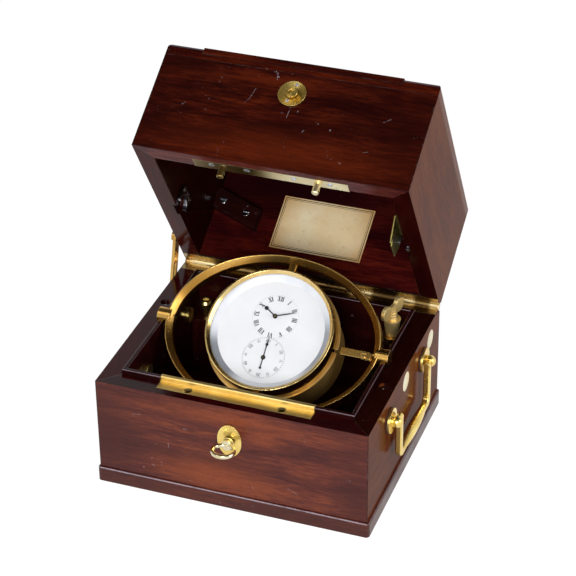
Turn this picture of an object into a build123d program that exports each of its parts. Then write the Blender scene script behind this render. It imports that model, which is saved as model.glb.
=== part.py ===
"""Deck watch box: a two-tier mahogany box with a gimballed marine watch inside.

Millimetres. X runs to the right seen from the front, Y to the back, Z up.
The origin is the centre of the underside. The lid is modelled shut and then
swung open about its hinge, and the watch is modelled level in its gimbal and
then tilted, so every fit is written in the plain frame that it belongs to.
"""
from build123d import *
import math
import os

os.makedirs("parts", exist_ok=True)

# Case, the lower tier
case_width = 180.0
case_depth = 152.0
case_height = 76.7
case_wall = 12.8
plinth_height = 10.5
plinth_overhang = 1.6
plinth_round = 1.4
plinth_corner_round = 2.4
lining_thickness = 3.0
lining_rise = 3.5
lining_round = 0.9

# Lid, the upper tier
lid_gap = 0.4
lid_height = 77.4
lid_wall = 12.3
lid_top_thickness = 9.0
lid_round = 4.0
lid_open_angle = 58.8

# Hinge along the back
barrel_radius = 2.8
hinge_pin_radius = 1.3
leaf_width = 10.0
leaf_thickness = 1.6
hinge_end_gap = 0.4
knuckle_count = 7

# Clearances
running = 0.05
free_gap = 0.3
over = 1.0
lining_to_lid = 0.5

# Gimbal
gimbal_y = 2.5
gimbal_z = 80.7
gimbal_tilt = 35.0
ring_side_gap = 2.2
ring_half_y = 55.0
ring_wall = 4.2
ring_height = 9.0
ring_slope = 3.4
ring_bevel = 0.35
trunnion_radius = 5.2
trunnion_bite = 1.4
trunnion_stem_radius = 1.8
saddle_wall = 1.5
notch_gap = 0.4
hold_down_gap = 0.8
hold_down_thickness = 2.3
hold_down_half_width = 9.0
hold_down_height = 10.5
hold_down_screw_side = 7.0
hold_down_screw_rise = 8.6
hold_leaf_gap = 0.3
hold_leaf_thickness = 0.8
hold_leaf_front = -32.0
hold_leaf_rise = 82.2
hold_leaf_foot = 7.0
hold_leaf_outline = ((-3.2, 82.2), (-3.2, 74.8), (-7.2, 66.8), (-19.9, 66.8), (-22.9, 70.8),
                     (-19.9, 76.8), (-20.9, 82.2))
hold_blade_outline = ((-20.9, 82.2), (-22.9, 68.8), (-24.4, 66.8), (-32.0, 82.2))

# Watch bowl, heights measured from the middle plane of the gimbal ring
bowl_radius = 42.0
bowl_depth = 31.0
bowl_wall = 3.4
bowl_round = 3.2
flange_radius = 43.8
flange_top = -2.0
flange_thickness = 1.6
flange_notch = 2.6
neck_radius = 40.5
dial_seat = 5.4
dial_thickness = 0.6
dial_edge_gap = 0.1
dial_visible_radius = 37.5
slope_top_radius = 39.2
slope_height = 2.3
crystal_thickness = 1.5
bezel_radius = 42.2
bezel_lip = 2.0
bezel_lip_radius = 39.2
bezel_land = 1.2
bezel_bottom = -1.2
bezel_round = 0.48
bezel_gap = 0.1
stub_radius = 2.9
pivot_radius = 1.6
pivot_root = 2.0
movement_plate = 3.0
movement_depth = 20.0
pillar_radius = 2.0
pillar_circle = 30.0

# Lock arm of the watch bowl, in the plane of the gimbal ring
arm_pivot_inset = 9.9
arm_pivot_y = -1.4
arm_flange_gap = 2.8
arm_tail = 5.0
arm_width = 5.0
arm_thickness = 1.6
arm_screw_radius = 1.1
arm_screw_head = 2.2
arm_screw_head_height = 1.0
lug_thickness = 1.8

# Dial furniture
hour_dial_y = 10.8
seconds_dial_y = -17.8
hand_thickness = 0.35
hand_root = 0.32
hub_radius = 1.5
hour_bead_at = 8.4
hour_bead_radius = 1.3
minute_widest_at = 9.5
seconds_bead_at = 9.1
seconds_bead_radius = 1.0
seconds_tail_bead = 0.8
hour_hand_angle = -58.0
minute_hand_angle = 70.5
centre_arbor_radius = 0.5
seconds_arbor_radius = 0.4
hour_hand_length = 12.5
minute_hand_length = 14.6
seconds_hand_length = 15.0
seconds_tail_length = 7.2

# Box lock
lock_length = 102.0
strip_front = 5.8
strip_thickness = 2.0
strip_lip_rise = 3.5
strip_lip_inset = 13.8
strip_lip_thickness = 3.2
strip_lip_round = 1.0
lock_bottom = 31.0
lock_plate = 1.2
lock_top_plate = 1.5
pin_inset = 20.0
pin_setback = 9.2
pin_radius = 2.3
pin_length = 7.6
pin_round = 0.9
pin_hole_gap = 0.5
pin_slot_width = 2.2
pin_slot_bottom = 1.1
pin_slot_height = 2.4
bolt_throw = 4.0
bolt_thickness = 1.2
bolt_bar_height = 6.6
bolt_drop = 8.1
bolt_left_room = 9.0
bolt_right_room = 13.0
finger_height = 1.4
finger_reach = 3.8
finger_post = 2.4
guide_stud_radius = 1.2
guide_stud_x = 22.0

# Key and escutcheon
key_z = 52.5
key_hole_radius = 3.3
shank_radius = 2.5
shank_reach = 6.0
key_bit_reach = 5.8
key_bit_half = 1.3
key_bit_width = 3.0
key_bore_radius = 1.2
bow_half_x = 8.2
bow_half_y = 7.4
bow_section = 2.7
bow_round = 1.1
collar_radius = 3.6
collar_width = 1.3
escutcheon_half_x = 8.0
escutcheon_half_z = 11.75
escutcheon_thickness = 1.2
escutcheon_pin_radius = 0.9
escutcheon_pin_z = 9.2
keyhole_slot_half = 1.7
keyhole_slot_drop = 6.6

# Lid lock plate
lid_plate_setback = 5.1
lid_plate_width = 8.3
lid_plate_thickness = 1.6
lid_plate_end_gap = 0.4
lid_plate_screw_inset = 12.5
lid_plate_screw_inner_x = 15.3
lid_plate_screw_setback = 8.7

# Observation flap and window in the lid top
flap_half_width = 66.0
flap_back_inset = 18.3
flap_thickness = 4.7
flap_round = 1.2
flap_side_gap = 0.4
window_side = 84.0
glass_side = 92.0
glass_thickness = 2.0
glass_gap = 0.2
flap_hinge_x = 45.0
flap_hinge_length = 20.0
flap_knuckle_radius = 1.7
flap_pin_radius = 0.8
flap_leaf_width = 8.0
flap_leaf_thickness = 1.0

# Flap catch and its button
button_z = 130.5
button_plate_radius = 9.0
button_plate_thickness = 1.2
button_screw_low = (-1.4, 125.1)
button_screw_high = (1.4, 137.2)
button_screw_scale = 0.62
button_radius = 4.0
button_proud = 3.4
button_depth = 3.0
button_stem_radius = 1.6
button_travel = 1.2
button_dish_radius = 2.2
button_dish_depth = 0.6
catch_half_width = 4.0
catch_thickness = 1.2
catch_length = 16.3
catch_foot = 10.0
catch_setback = 5.6
catch_window_bottom = 1.4
catch_window_height = 2.4
catch_window_half = 2.2
nose_depth = 1.0
nose_half = 1.5
nose_height = 1.4
pocket_half = 5.0
pocket_setback = 4.8
pocket_depth = 6.0

# Lid stay on the left side
stay_stud_inset = 20.0
stay_stud_z = 61.5
stay_lean = 74.1
strap_thickness = 2.0
strap_width = 7.4
strap_stand_off = 1.5
stay_stud_radius = 1.7
stay_pivot_radius = 1.5
stay_pivot_skin = 3.0
stay_head_radius = 3.3
stay_head_height = 1.2
side_plug_radius = 6.5
side_plug_depth = 2.0
rear_plug = (55.1, 64.5)
middle_plug = (1.7, 66.1)

# Drop handles on the sides
handle_mid_y = 2.6
handle_z = 59.5
handle_post_spread = 35.4
handle_arm_spread = 30.2
handle_out = 5.0
handle_drop = 28.5
flange_disc_radius = 8.3
flange_disc_thickness = 1.5
washer_radius = 8.5
washer_thickness = 0.8
post_radius = 3.5
post_ball_radius = 3.9
post_ball_cut = 2.8
post_shank_radius = 2.2
bail_section = 4.2
bail_corner = 5.0
bail_edge_round = 0.7
grip_radius = 3.5
bail_pin_radius = 1.3
bail_pin_length = 3.2
handle_nut_radius = 5.2
handle_nut_thickness = 2.4

# Winding key and its bracket in the rear right corner
winder_side_room = 9.0
winder_back_room = 9.7
winder_tip_z = 54.0
winder_tip_radius = 1.5
winder_barrel_z = 59.5
winder_barrel_low = 2.8
winder_shoulder_z = 77.0
winder_barrel_radius = 5.7
winder_barrel_top = 78.4
winder_collar_radius = 3.3
winder_collar_top = 83.4
winder_neck_radius = 2.6
winder_neck_top = 85.6
winder_grooves = (79.8, 81.6)
wing_radius = 5.0
wing_offset = 7.2
wing_thickness = 2.4
wing_turn = 75.5
bracket_z = 62.0
bracket_height = 4.0
bracket_wall = 2.4

# Knob on its post in the rear left corner
knob_z = 52.0
knob_radius = 4.4
knob_height = 12.0
knob_post_half = 7.7
knob_profile = ((0, 0), (0.55, 0), (0.7, 0.35), (1, 0.5), (1, 0.85), (0.8, 1), (0.45, 1),
                (0.4, 0.93), (0, 0.93))

# Label and block inside the lid
label_half_width = 32.0
label_bottom = 92.0
label_top = 132.0
label_thickness = 0.3
block_gap = 0.2
block_length = 33.5
block_screw_inset_a = 5.7
block_screw_inset_b = 24.2
block_screw_z_a = 117.9
block_screw_z_b = 111.4
block_half_height = 7.4
block_thickness = 6.0
block_screw_length = 12.0
block_screw_scale = 1.4

# Screws
screw_head_radius = 1.9
screw_head_height = 1.2
screw_shank_radius = 0.9
screw_length = 8.0
screw_slot = 0.5
rim_recess_radius = 3.4
rim_recess_depth = 2.4
rim_recess_inset = 7.0
rim_recess_y = 22.4

# Places worked out from the sizes above
half_w = case_width / 2
half_d = case_depth / 2
rim = case_height
inner_x = half_w - case_wall
inner_y = half_d - case_wall
lining_x = inner_x - lining_thickness
lining_y = inner_y - lining_thickness
lining_top = rim + lining_rise
lid_bottom = rim + lid_gap
lid_upper = lid_bottom + lid_height
lid_ceiling = lid_upper - lid_top_thickness
lid_inner_x = inner_x + lining_to_lid
lid_inner_y = inner_y + lining_to_lid
hinge_y = half_d
hinge_z = rim + lid_gap / 2
hinge_length = case_width - 2 * hinge_end_gap
ring_half_x = lining_x - ring_side_gap
trunnion_end = inner_x + trunnion_bite
arm_pivot_x = ring_half_x - arm_pivot_inset
arm_inner_end = flange_radius + arm_flange_gap
lock_half = lock_length / 2
pin_x = lock_half - pin_inset
lid_plate_screw_outer_x = lock_half - lid_plate_screw_inset
rim_recess_x = half_w - rim_recess_inset
winder_x = lining_x - winder_side_room
winder_y = lining_y - winder_back_room
knob_x = knob_post_half - lining_x
knob_y = lining_y - knob_post_half
block_left = lid_inner_x - block_gap
block_right = block_left - block_length
block_screw_a = (block_screw_inset_a - block_left, block_screw_z_a)
block_screw_b = (block_screw_inset_b - block_left, block_screw_z_b)
strip_lip_front = half_d - strip_lip_inset
strip_lip_back = strip_lip_front - strip_lip_thickness
pin_y = pin_setback - half_d
shank_front = half_d + shank_reach
lid_plate_front = half_d - lid_plate_setback
lid_plate_back = lid_plate_front - lid_plate_width
lid_plate_screw_y = lid_plate_screw_setback - half_d
flap_back = half_d - flap_back_inset
catch_front = half_d - catch_setback
pocket_front = half_d - pocket_setback
pocket_back = pocket_front - pocket_depth
stay_stud_y = half_d - stay_stud_inset
far = 200.0


def block(x0, x1, y0, y1, z0, z1):
    """A box between two opposite corners."""
    return Pos((x0 + x1) / 2, (y0 + y1) / 2, (z0 + z1) / 2) * Box(x1 - x0, y1 - y0, z1 - z0)


def rod_x(x0, x1, y, z, radius):
    """A round bar along X."""
    return Pos((x0 + x1) / 2, y, z) * Rot(0, 90, 0) * Cylinder(radius, abs(x1 - x0))


def rod_y(x, y0, y1, z, radius):
    """A round bar along Y."""
    return Pos(x, (y0 + y1) / 2, z) * Rot(90, 0, 0) * Cylinder(radius, abs(y1 - y0))


def rod_z(x, y, z0, z1, radius):
    """A round bar along Z."""
    return Pos(x, y, (z0 + z1) / 2) * Cylinder(radius, abs(z1 - z0))


def prism_x(points, x0, x1):
    """A (y, z) outline carried from x0 to x1."""
    return extrude(Plane.YZ.offset(x0) * make_face(Polyline(*points, close=True)), x1 - x0)


def prism_y(points, y0, y1):
    """An (x, z) outline carried from y0 to y1."""
    return extrude(Plane.XZ.offset(-y1) * make_face(Polyline(*points, close=True)), y1 - y0)


def turned(points):
    """A (radius, height) outline turned about Z."""
    return revolve(Plane.XZ * make_face(Polyline(*points, close=True)), Axis.Z)


def group(pieces):
    """Several separate pieces kept together as one node."""
    return Compound([solid for piece in pieces for solid in piece.solids()])


def mitred_boards(hx, hy, thickness, z0, z1):
    """Four boards round a rectangle, mitred at its corners."""
    outer = [(-hx, -hy), (hx, -hy), (hx, hy), (-hx, hy)]
    t = thickness
    inner = [(-hx + t, -hy + t), (hx - t, -hy + t), (hx - t, hy - t), (-hx + t, hy - t)]
    boards = {}
    for i, side in enumerate(("front", "right", "back", "left")):
        j = (i + 1) % 4
        outline = make_face(Polyline(outer[i], outer[j], inner[j], inner[i], close=True))
        boards[side] = Pos(0, 0, z0) * extrude(outline, z1 - z0)
    return boards


def long_axis(side):
    """The direction in which a board of that side runs."""
    return Axis.X if side in ("front", "back") else Axis.Y


def screw(length=screw_length, slotted=True):
    """A countersunk screw with its head face at z = 0, pointing down."""
    body = turned([(0, 0), (screw_head_radius, 0), (screw_shank_radius, -screw_head_height),
                   (screw_shank_radius, -length), (0, -length)])
    if slotted:
        body -= block(-far, far, -screw_slot / 2, screw_slot / 2, -screw_slot, far)
    return body


def opened(shape):
    """Swing a piece of the shut lid to the open position."""
    return Pos(0, hinge_y, hinge_z) * Rot(-lid_open_angle, 0, 0) * Pos(0, -hinge_y, -hinge_z) * shape


def gimballed(shape):
    """Place a piece of the watch or of its ring, tilted as it rests."""
    return Pos(0, gimbal_y, gimbal_z) * Rot(gimbal_tilt, 0, 0) * shape


parts = {}

# Plinth and base
plinth_wall = case_wall + plinth_overhang
plinth = mitred_boards(half_w + plinth_overhang, half_d + plinth_overhang, plinth_wall, 0, plinth_height)
outward = {"front": Axis.Y, "right": -Axis.X, "back": -Axis.Y, "left": Axis.X}
for side, strip in plinth.items():
    top_edges = strip.edges().group_by(Axis.Z)[-1].filter_by(long_axis(side))
    plinth[side] = fillet(top_edges.sort_by(outward[side])[0], plinth_round)
plinth_form = block(-half_w - plinth_overhang, half_w + plinth_overhang, -half_d - plinth_overhang,
                    half_d + plinth_overhang, 0, plinth_height)
plinth_form = fillet(plinth_form.edges().filter_by(Axis.Z), plinth_corner_round)
parts["plinth_mouldings"] = group([strip & plinth_form for strip in plinth.values()])
parts["case_base_board"] = block(-inner_x, inner_x, -inner_y, inner_y, 0, plinth_height)

# Case boards and their linings
case_boards = mitred_boards(half_w, half_d, case_wall, plinth_height, rim)
linings = mitred_boards(inner_x, inner_y, lining_thickness, plinth_height, lining_top)
for side, lining in linings.items():
    top_edges = lining.edges().group_by(Axis.Z)[-1].filter_by(long_axis(side))
    linings[side] = fillet(top_edges, lining_round)

# Hinge: knuckles belong in turn to the case and to the lid
knuckle = (hinge_length - (knuckle_count - 1) * free_gap) / knuckle_count
knuckle_starts = [-hinge_length / 2 + i * (knuckle + free_gap) for i in range(knuckle_count)]
hinge_groove = rod_x(-half_w, half_w, hinge_y, hinge_z, barrel_radius + free_gap)
case_leaf = block(-hinge_length / 2, hinge_length / 2, half_d - leaf_width, half_d,
                  rim - leaf_thickness, rim)
lid_leaf = block(-hinge_length / 2, hinge_length / 2, half_d - leaf_width, half_d,
                 lid_bottom, lid_bottom + leaf_thickness)
case_leaf_pocket = case_leaf
lid_leaf_pocket = lid_leaf
for i, start in enumerate(knuckle_starts):
    tube = rod_x(start, start + knuckle, hinge_y, hinge_z, barrel_radius)
    room = rod_x(start - free_gap, start + knuckle + free_gap, hinge_y, hinge_z, barrel_radius + free_gap)
    if i % 2 == 0:
        case_leaf += tube
        lid_leaf -= room
    else:
        lid_leaf += tube
        case_leaf -= room
case_leaf -= rod_x(-far, far, hinge_y, hinge_z, hinge_pin_radius)
lid_leaf -= rod_x(-far, far, hinge_y, hinge_z, hinge_pin_radius + running)
parts["case_hinge_leaf"] = case_leaf
parts["hinge_pin"] = rod_x(-hinge_length / 2, hinge_length / 2, hinge_y, hinge_z, hinge_pin_radius)
for side in ("right", "back", "left"):
    case_boards[side] -= case_leaf_pocket + hinge_groove

# Lock strip and lock case in the front board
lock_front = -half_d + strip_front
lock_back = -inner_y
strip_bottom = rim - strip_thickness
strip_top = rim + strip_lip_rise
strip = prism_x([(lock_front, strip_bottom), (-strip_lip_back, strip_bottom),
                 (-strip_lip_back, strip_top), (-strip_lip_front, strip_top),
                 (-strip_lip_front, rim), (lock_front, rim)], -lock_half, lock_half)
strip = fillet(strip.edges().group_by(Axis.Z)[-1].filter_by(Axis.X), strip_lip_round)
pin_hole_radius = pin_radius + pin_hole_gap
pin_holes = group([rod_z(x, pin_y, strip_bottom - 4 * strip_thickness, rim + over, pin_hole_radius)
                   for x in (-pin_x, pin_x)])
parts["lock_strip"] = strip - pin_holes
lock_pocket = block(-lock_half, lock_half, lock_front, lock_back, lock_bottom, rim)
cover_front = lock_back - lock_plate
lock_case = block(-lock_half, lock_half, lock_front, cover_front, lock_bottom, strip_bottom)
cavity_front = lock_front + lock_plate
lock_case -= block(-lock_half + lock_plate, lock_half - lock_plate, cavity_front, far,
                   lock_bottom + lock_plate, strip_bottom - lock_top_plate)
keyhole = rod_y(0, -far, cavity_front, key_z, key_hole_radius)
keyhole += block(-keyhole_slot_half, keyhole_slot_half, -far, cavity_front,
                 key_z - keyhole_slot_drop, key_z)
bolt_bar_top = lid_bottom - pin_length - free_gap * 3
bolt_bar_bottom = bolt_bar_top - bolt_bar_height
guide_z = (bolt_bar_top + bolt_bar_bottom) / 2
for x in (-guide_stud_x, guide_stud_x):
    lock_case += rod_y(x, cavity_front, cover_front, guide_z, guide_stud_radius)
parts["lock_case"] = lock_case - pin_holes - keyhole
lock_cover = block(-lock_half, lock_half, cover_front, lock_back, lock_bottom, strip_bottom)
lock_cover += rod_y(0, cover_front - 3 * lock_plate, cover_front, key_z, key_bore_radius - 2 * running)
parts["lock_cover"] = lock_cover - pin_holes
case_boards["front"] -= lock_pocket + keyhole
linings["front"] -= block(-lock_half, lock_half, -far, 0, strip_bottom, far)

# Lock bolt with two fingers for the lid pins and a prong for the key bit
bolt_y = (cavity_front + cover_front) / 2
finger_top = lid_bottom - pin_length + pin_slot_bottom + (pin_slot_height + finger_height) / 2
bolt = block(-lock_half + bolt_left_room, lock_half - bolt_right_room, bolt_y - bolt_thickness / 2,
             bolt_y + bolt_thickness / 2, bolt_bar_bottom, bolt_bar_top)
for x in (-pin_x, pin_x):
    tip = x - pin_radius - pin_hole_gap
    post = tip - finger_reach
    bolt += block(post - finger_post, post, bolt_y - bolt_thickness / 2, bolt_y + bolt_thickness / 2,
                  bolt_bar_bottom, finger_top)
    bolt += block(post, tip, bolt_y - bolt_thickness / 2, bolt_y + bolt_thickness / 2,
                  finger_top - finger_height, finger_top)
prong_side = shank_radius + 3 * free_gap
prong_right = prong_side + 2 * shank_radius
prong_top = key_z - shank_radius - 2 * free_gap
prong_bottom = key_z - bolt_drop
prong_left = -bolt_throw + key_bit_half + free_gap
bolt += prism_y([(prong_side, bolt_bar_top), (prong_side, prong_top), (prong_left, prong_top),
                 (prong_left, prong_bottom), (prong_right, prong_bottom), (prong_right, bolt_bar_top)],
                bolt_y - bolt_thickness / 2, bolt_y + bolt_thickness / 2)
for x in (-guide_stud_x, guide_stud_x):
    slot_reach = guide_stud_radius + free_gap
    bolt -= block(x - bolt_throw - slot_reach, x + slot_reach, -far, 0,
                  guide_z - slot_reach, guide_z + slot_reach)
parts["lock_bolt"] = bolt

# Escutcheon and key
escutcheon = Pos(0, -half_d, key_z) * Rot(90, 0, 0) * extrude(
    Ellipse(escutcheon_half_x, escutcheon_half_z), escutcheon_thickness)
escutcheon_face = -half_d - escutcheon_thickness
pins = group([rod_y(0, escutcheon_face, -half_d + 3 * escutcheon_thickness, key_z + offset,
                    escutcheon_pin_radius) for offset in (-escutcheon_pin_z, escutcheon_pin_z)])
parts["escutcheon"] = group([escutcheon - keyhole - pins, pins])
case_boards["front"] -= pins
key_end = cover_front - 2 * free_gap
key = rod_y(0, -shank_front, key_end, key_z, shank_radius)
for y in (escutcheon_face - 3 * collar_width, escutcheon_face - collar_width):
    key += rod_y(0, y - collar_width, y, key_z, collar_radius)
bow_back = -shank_front + bow_section / 2
bow = Ellipse(bow_half_x, bow_half_y) - Ellipse(bow_half_x - bow_section, bow_half_y - bow_section)
bow = fillet(extrude(bow, bow_section / 2, both=True).edges(), bow_round)
key += Pos(0, bow_back - bow_half_y, key_z) * bow
key += block(-key_bit_reach, 0, bolt_y - key_bit_width / 2, bolt_y + key_bit_width / 2,
             key_z - key_bit_half, key_z + key_bit_half)
parts["lock_key"] = key - rod_y(0, cover_front - 4 * lock_plate, 0, key_z, key_bore_radius)

# Drop handles: posts through each side, with a bail hung between them
bail_x = half_w + handle_out
post_ys = (handle_mid_y - handle_post_spread, handle_mid_y + handle_post_spread)


def handle_post(y):
    """One post of the right handle: shank, neck and ball, flat where the bail sits."""
    inward = 1 if y < handle_mid_y else -1
    seat = half_w + washer_thickness + flange_disc_thickness
    head = Pos(bail_x, y, handle_z) * Sphere(post_ball_radius)
    head += rod_x(seat, bail_x, y, handle_z, post_radius)
    cut = y + inward * post_ball_cut
    head &= block(seat, far, min(cut, y - inward * far), max(cut, y - inward * far), 0, far)
    post = head + rod_x(lining_x - handle_nut_thickness, seat, y, handle_z, post_shank_radius)
    socket = y + inward * (post_ball_cut - bail_pin_length - 2 * free_gap)
    return post - rod_y(bail_x, socket, y + inward * far, handle_z, bail_pin_radius + running)


def handle_bail():
    """The right bail: square arms and a grip that swells in the middle."""
    half = bail_section / 2
    low = handle_z - handle_drop
    y0 = handle_mid_y - handle_arm_spread
    y1 = handle_mid_y + handle_arm_spread
    outer = make_face(Polyline((y0 - half, handle_z), (y0 - half, low - half), (y1 + half, low - half),
                               (y1 + half, handle_z), close=True))
    inner = make_face(Polyline((y0 + half, handle_z), (y0 + half, low + half), (y1 - half, low + half),
                               (y1 - half, handle_z), close=True))
    outer = fillet(outer.vertices().group_by(Axis.Y)[0], bail_corner)
    inner = fillet(inner.vertices().group_by(Axis.Y)[0], bail_corner - half)
    bail = extrude(Plane.YZ.offset(bail_x - half) * (outer - inner), bail_section)
    bail = chamfer(bail.edges().filter_by(Axis.Y), bail_edge_round)
    grip_half = handle_arm_spread - bail_corner - half
    grip_edge = ThreePointArc((half, -grip_half), (grip_radius, 0), (half, grip_half))
    grip = revolve(make_face(grip_edge + Polyline((half, grip_half), (0, grip_half), (0, -grip_half),
                                                  (half, -grip_half))), Axis.Y)
    bail += Pos(bail_x, handle_mid_y, low) * grip
    for y, outward_sign in ((y0, -1), (y1, 1)):
        bail += rod_y(bail_x, y - half, y + half, handle_z, half)
        face = y + outward_sign * half
        bail += rod_y(bail_x, face, face + outward_sign * bail_pin_length, handle_z, bail_pin_radius)
    return bail


posts = [handle_post(y) for y in post_ys]
washers = [rod_x(half_w, half_w + washer_thickness, y, handle_z, washer_radius) for y in post_ys]
discs = [rod_x(half_w + washer_thickness, half_w + washer_thickness + flange_disc_thickness, y, handle_z,
               flange_disc_radius) for y in post_ys]
nuts = [rod_x(lining_x - handle_nut_thickness, lining_x, y, handle_z, handle_nut_radius) for y in post_ys]
shanks = [rod_x(0, far, y, handle_z, post_shank_radius) for y in post_ys]
shank_holes = group(shanks)
both_sides = {"handle_posts_and_nuts": posts + [nut - shank_holes for nut in nuts]}
for name, pieces in (("handle_washers", washers), ("handle_flanges", discs)):
    both_sides[name] = [piece - shank_holes for piece in pieces]
for name, pieces in both_sides.items():
    parts[name] = group([piece for p in pieces for piece in (p, mirror(p, Plane.YZ))])
parts["handle_right"] = handle_bail()
parts["handle_left"] = mirror(handle_bail(), Plane.YZ)
case_boards["right"] -= shank_holes
linings["right"] -= shank_holes
case_boards["left"] -= mirror(shank_holes, Plane.YZ)
linings["left"] -= mirror(shank_holes, Plane.YZ)

# Plugs let into the sides
plug_places = ((half_w, *rear_plug), (half_w, *middle_plug), (-half_w, *middle_plug))
plugs = []
for x, y, z in plug_places:
    depth = side_plug_depth if x > 0 else -side_plug_depth
    plugs.append(rod_x(x - depth, x, y, z, side_plug_radius))
case_boards["right"] -= group(plugs[:2])
case_boards["left"] -= plugs[2]

# Bearings of the gimbal in the side boards, and the notches that clear the lid
saddles = []
for sign, side in ((1, "right"), (-1, "left")):
    reach = trunnion_radius + running
    ring = rod_x(sign * lining_x, sign * inner_x, gimbal_y, gimbal_z, reach + saddle_wall)
    below = block(-far, far, -far, far, 0, lining_top)
    saddles.append((ring - rod_x(-far, far, gimbal_y, gimbal_z, reach)) & below)
    linings[side] -= rod_x(0, sign * far, gimbal_y, gimbal_z, reach + saddle_wall)
    case_boards[side] -= rod_x(sign * inner_x, sign * (trunnion_end + 2 * notch_gap), gimbal_y, gimbal_z,
                               trunnion_radius + notch_gap)
parts["gimbal_saddles"] = group(saddles)

# Screws sunk in the rim of the side boards
rim_screws = []
for sign, side in ((1, "right"), (-1, "left")):
    place = (sign * rim_recess_x, -sign * rim_recess_y)
    floor = rim - rim_recess_depth
    rim_screws.append(Pos(place[0], place[1], floor) * screw())
    case_boards[side] -= rod_z(place[0], place[1], floor, far, rim_recess_radius)
    case_boards[side] -= Pos(place[0], place[1], floor) * screw(slotted=False)
parts["rim_screws"] = group(rim_screws)

# Stay stud on the left side
stay_x = -half_w - strap_stand_off
stud_outer = stay_x - strap_thickness - free_gap
stay_stud = rod_x(-half_w + side_plug_depth, -half_w, stay_stud_y, stay_stud_z, side_plug_radius)
case_boards["left"] -= stay_stud
stay_stud += rod_x(stud_outer, -half_w, stay_stud_y, stay_stud_z, stay_stud_radius)
stay_stud += rod_x(stud_outer - stay_head_height, stud_outer, stay_stud_y, stay_stud_z, stay_head_radius)
parts["side_plugs_and_stay_stud"] = group(plugs + [stay_stud])

# Winding key in its bracket
wing_dx = wing_offset * math.cos(math.radians(wing_turn))
wing_dy = wing_offset * math.sin(math.radians(wing_turn))
winder = turned([(0, winder_tip_z), (winder_tip_radius, winder_tip_z), (winder_tip_radius, winder_barrel_z),
                 (winder_barrel_low, winder_barrel_z), (winder_barrel_radius, winder_shoulder_z),
                 (winder_barrel_radius, winder_barrel_top), (winder_collar_radius, winder_barrel_top),
                 (winder_collar_radius, winder_collar_top), (winder_neck_radius, winder_collar_top),
                 (winder_neck_radius, winder_neck_top), (0, winder_neck_top)])
for z in winder_grooves:
    winder -= (rod_z(0, 0, z, z + 2 * free_gap, winder_collar_radius + over)
               - rod_z(0, 0, z, z + 2 * free_gap, winder_collar_radius - free_gap))
for sign in (-1, 1):
    wing = rod_y(sign * wing_offset, -wing_thickness / 2, wing_thickness / 2,
                 winder_neck_top, wing_radius)
    wing += block(min(0, sign * wing_offset), max(0, sign * wing_offset), -wing_thickness / 2,
                  wing_thickness / 2, winder_neck_top - winder_neck_radius,
                  winder_neck_top + winder_neck_radius)
    winder += Rot(0, 0, wing_turn) * wing
parts["winding_key"] = Pos(winder_x, winder_y, 0) * winder
slope = (winder_barrel_radius - winder_barrel_low) / (winder_shoulder_z - winder_barrel_z)


def bracket_bore(z):
    """Radius of the bracket's tapered bore at a height."""
    return winder_barrel_low + slope * (z - winder_barrel_z) + free_gap


bracket_top = bracket_z + bracket_height
bore = turned([(0, bracket_z), (bracket_bore(bracket_z), bracket_z),
               (bracket_bore(bracket_top), bracket_top), (0, bracket_top)])
bracket_radius = bracket_bore(bracket_top) + bracket_wall
bracket = rod_z(0, 0, bracket_z, bracket_top, bracket_radius)
bracket += block(-bracket_radius, bracket_radius, 0, lining_y - winder_y, bracket_z, bracket_top)
parts["winding_key_bracket"] = Pos(winder_x, winder_y, 0) * (bracket - bore)

# Knob on a post in the other corner
knob = turned([(knob_radius * out, knob_height * up) for out, up in knob_profile])
parts["corner_knob"] = Pos(knob_x, knob_y, knob_z) * knob
parts["corner_post"] = block(-lining_x, -lining_x + 2 * knob_post_half, lining_y - 2 * knob_post_half,
                             lining_y, plinth_height, knob_z)

for side in ("front", "right", "back", "left"):
    parts["case_" + side + "_board"] = case_boards[side]
parts["rim_linings"] = group(linings.values())

# Gimbal ring, its trunnions and the lug of the bowl lock arm
ring = extrude(Ellipse(ring_half_x, ring_half_y) - Ellipse(ring_half_x - ring_wall, ring_half_y - ring_wall),
               ring_height / 2, both=True)
top_inner = ring.edges().group_by(Axis.Z)[-1].sort_by(SortBy.LENGTH)[0]
ring = chamfer(top_inner, ring_slope)
ring = chamfer(ring.edges().group_by(Axis.Z)[-1].sort_by(SortBy.LENGTH)[-1], ring_bevel)
plain_ring = ring
arm_low = -arm_thickness / 2 + free_gap
lug_top = arm_low - free_gap
lug = block(arm_pivot_x - arm_width / 2, ring_half_x - ring_wall / 2, arm_pivot_y - arm_width / 2,
            arm_pivot_y + arm_width / 2, lug_top - lug_thickness, lug_top)
lug += rod_z(arm_pivot_x, arm_pivot_y, lug_top - lug_thickness, lug_top, arm_width / 2 + running)
ring += lug
ring -= rod_x(-far, far, 0, 0, trunnion_stem_radius)
ring -= rod_y(0, -far, far, 0, pivot_radius + running)
ring -= rod_z(arm_pivot_x, arm_pivot_y, -far, far, arm_screw_radius)
trunnions = []
for sign in (1, -1):
    collar = rod_x(sign * (ring_half_x - ring_wall / 2), sign * trunnion_end, 0, 0, trunnion_radius)
    stem = rod_x(sign * (ring_half_x - ring_wall), sign * trunnion_end, 0, 0, trunnion_stem_radius)
    trunnions.append((collar - plain_ring) + stem)
parts["gimbal_trunnions"] = gimballed(group(trunnions))

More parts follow.
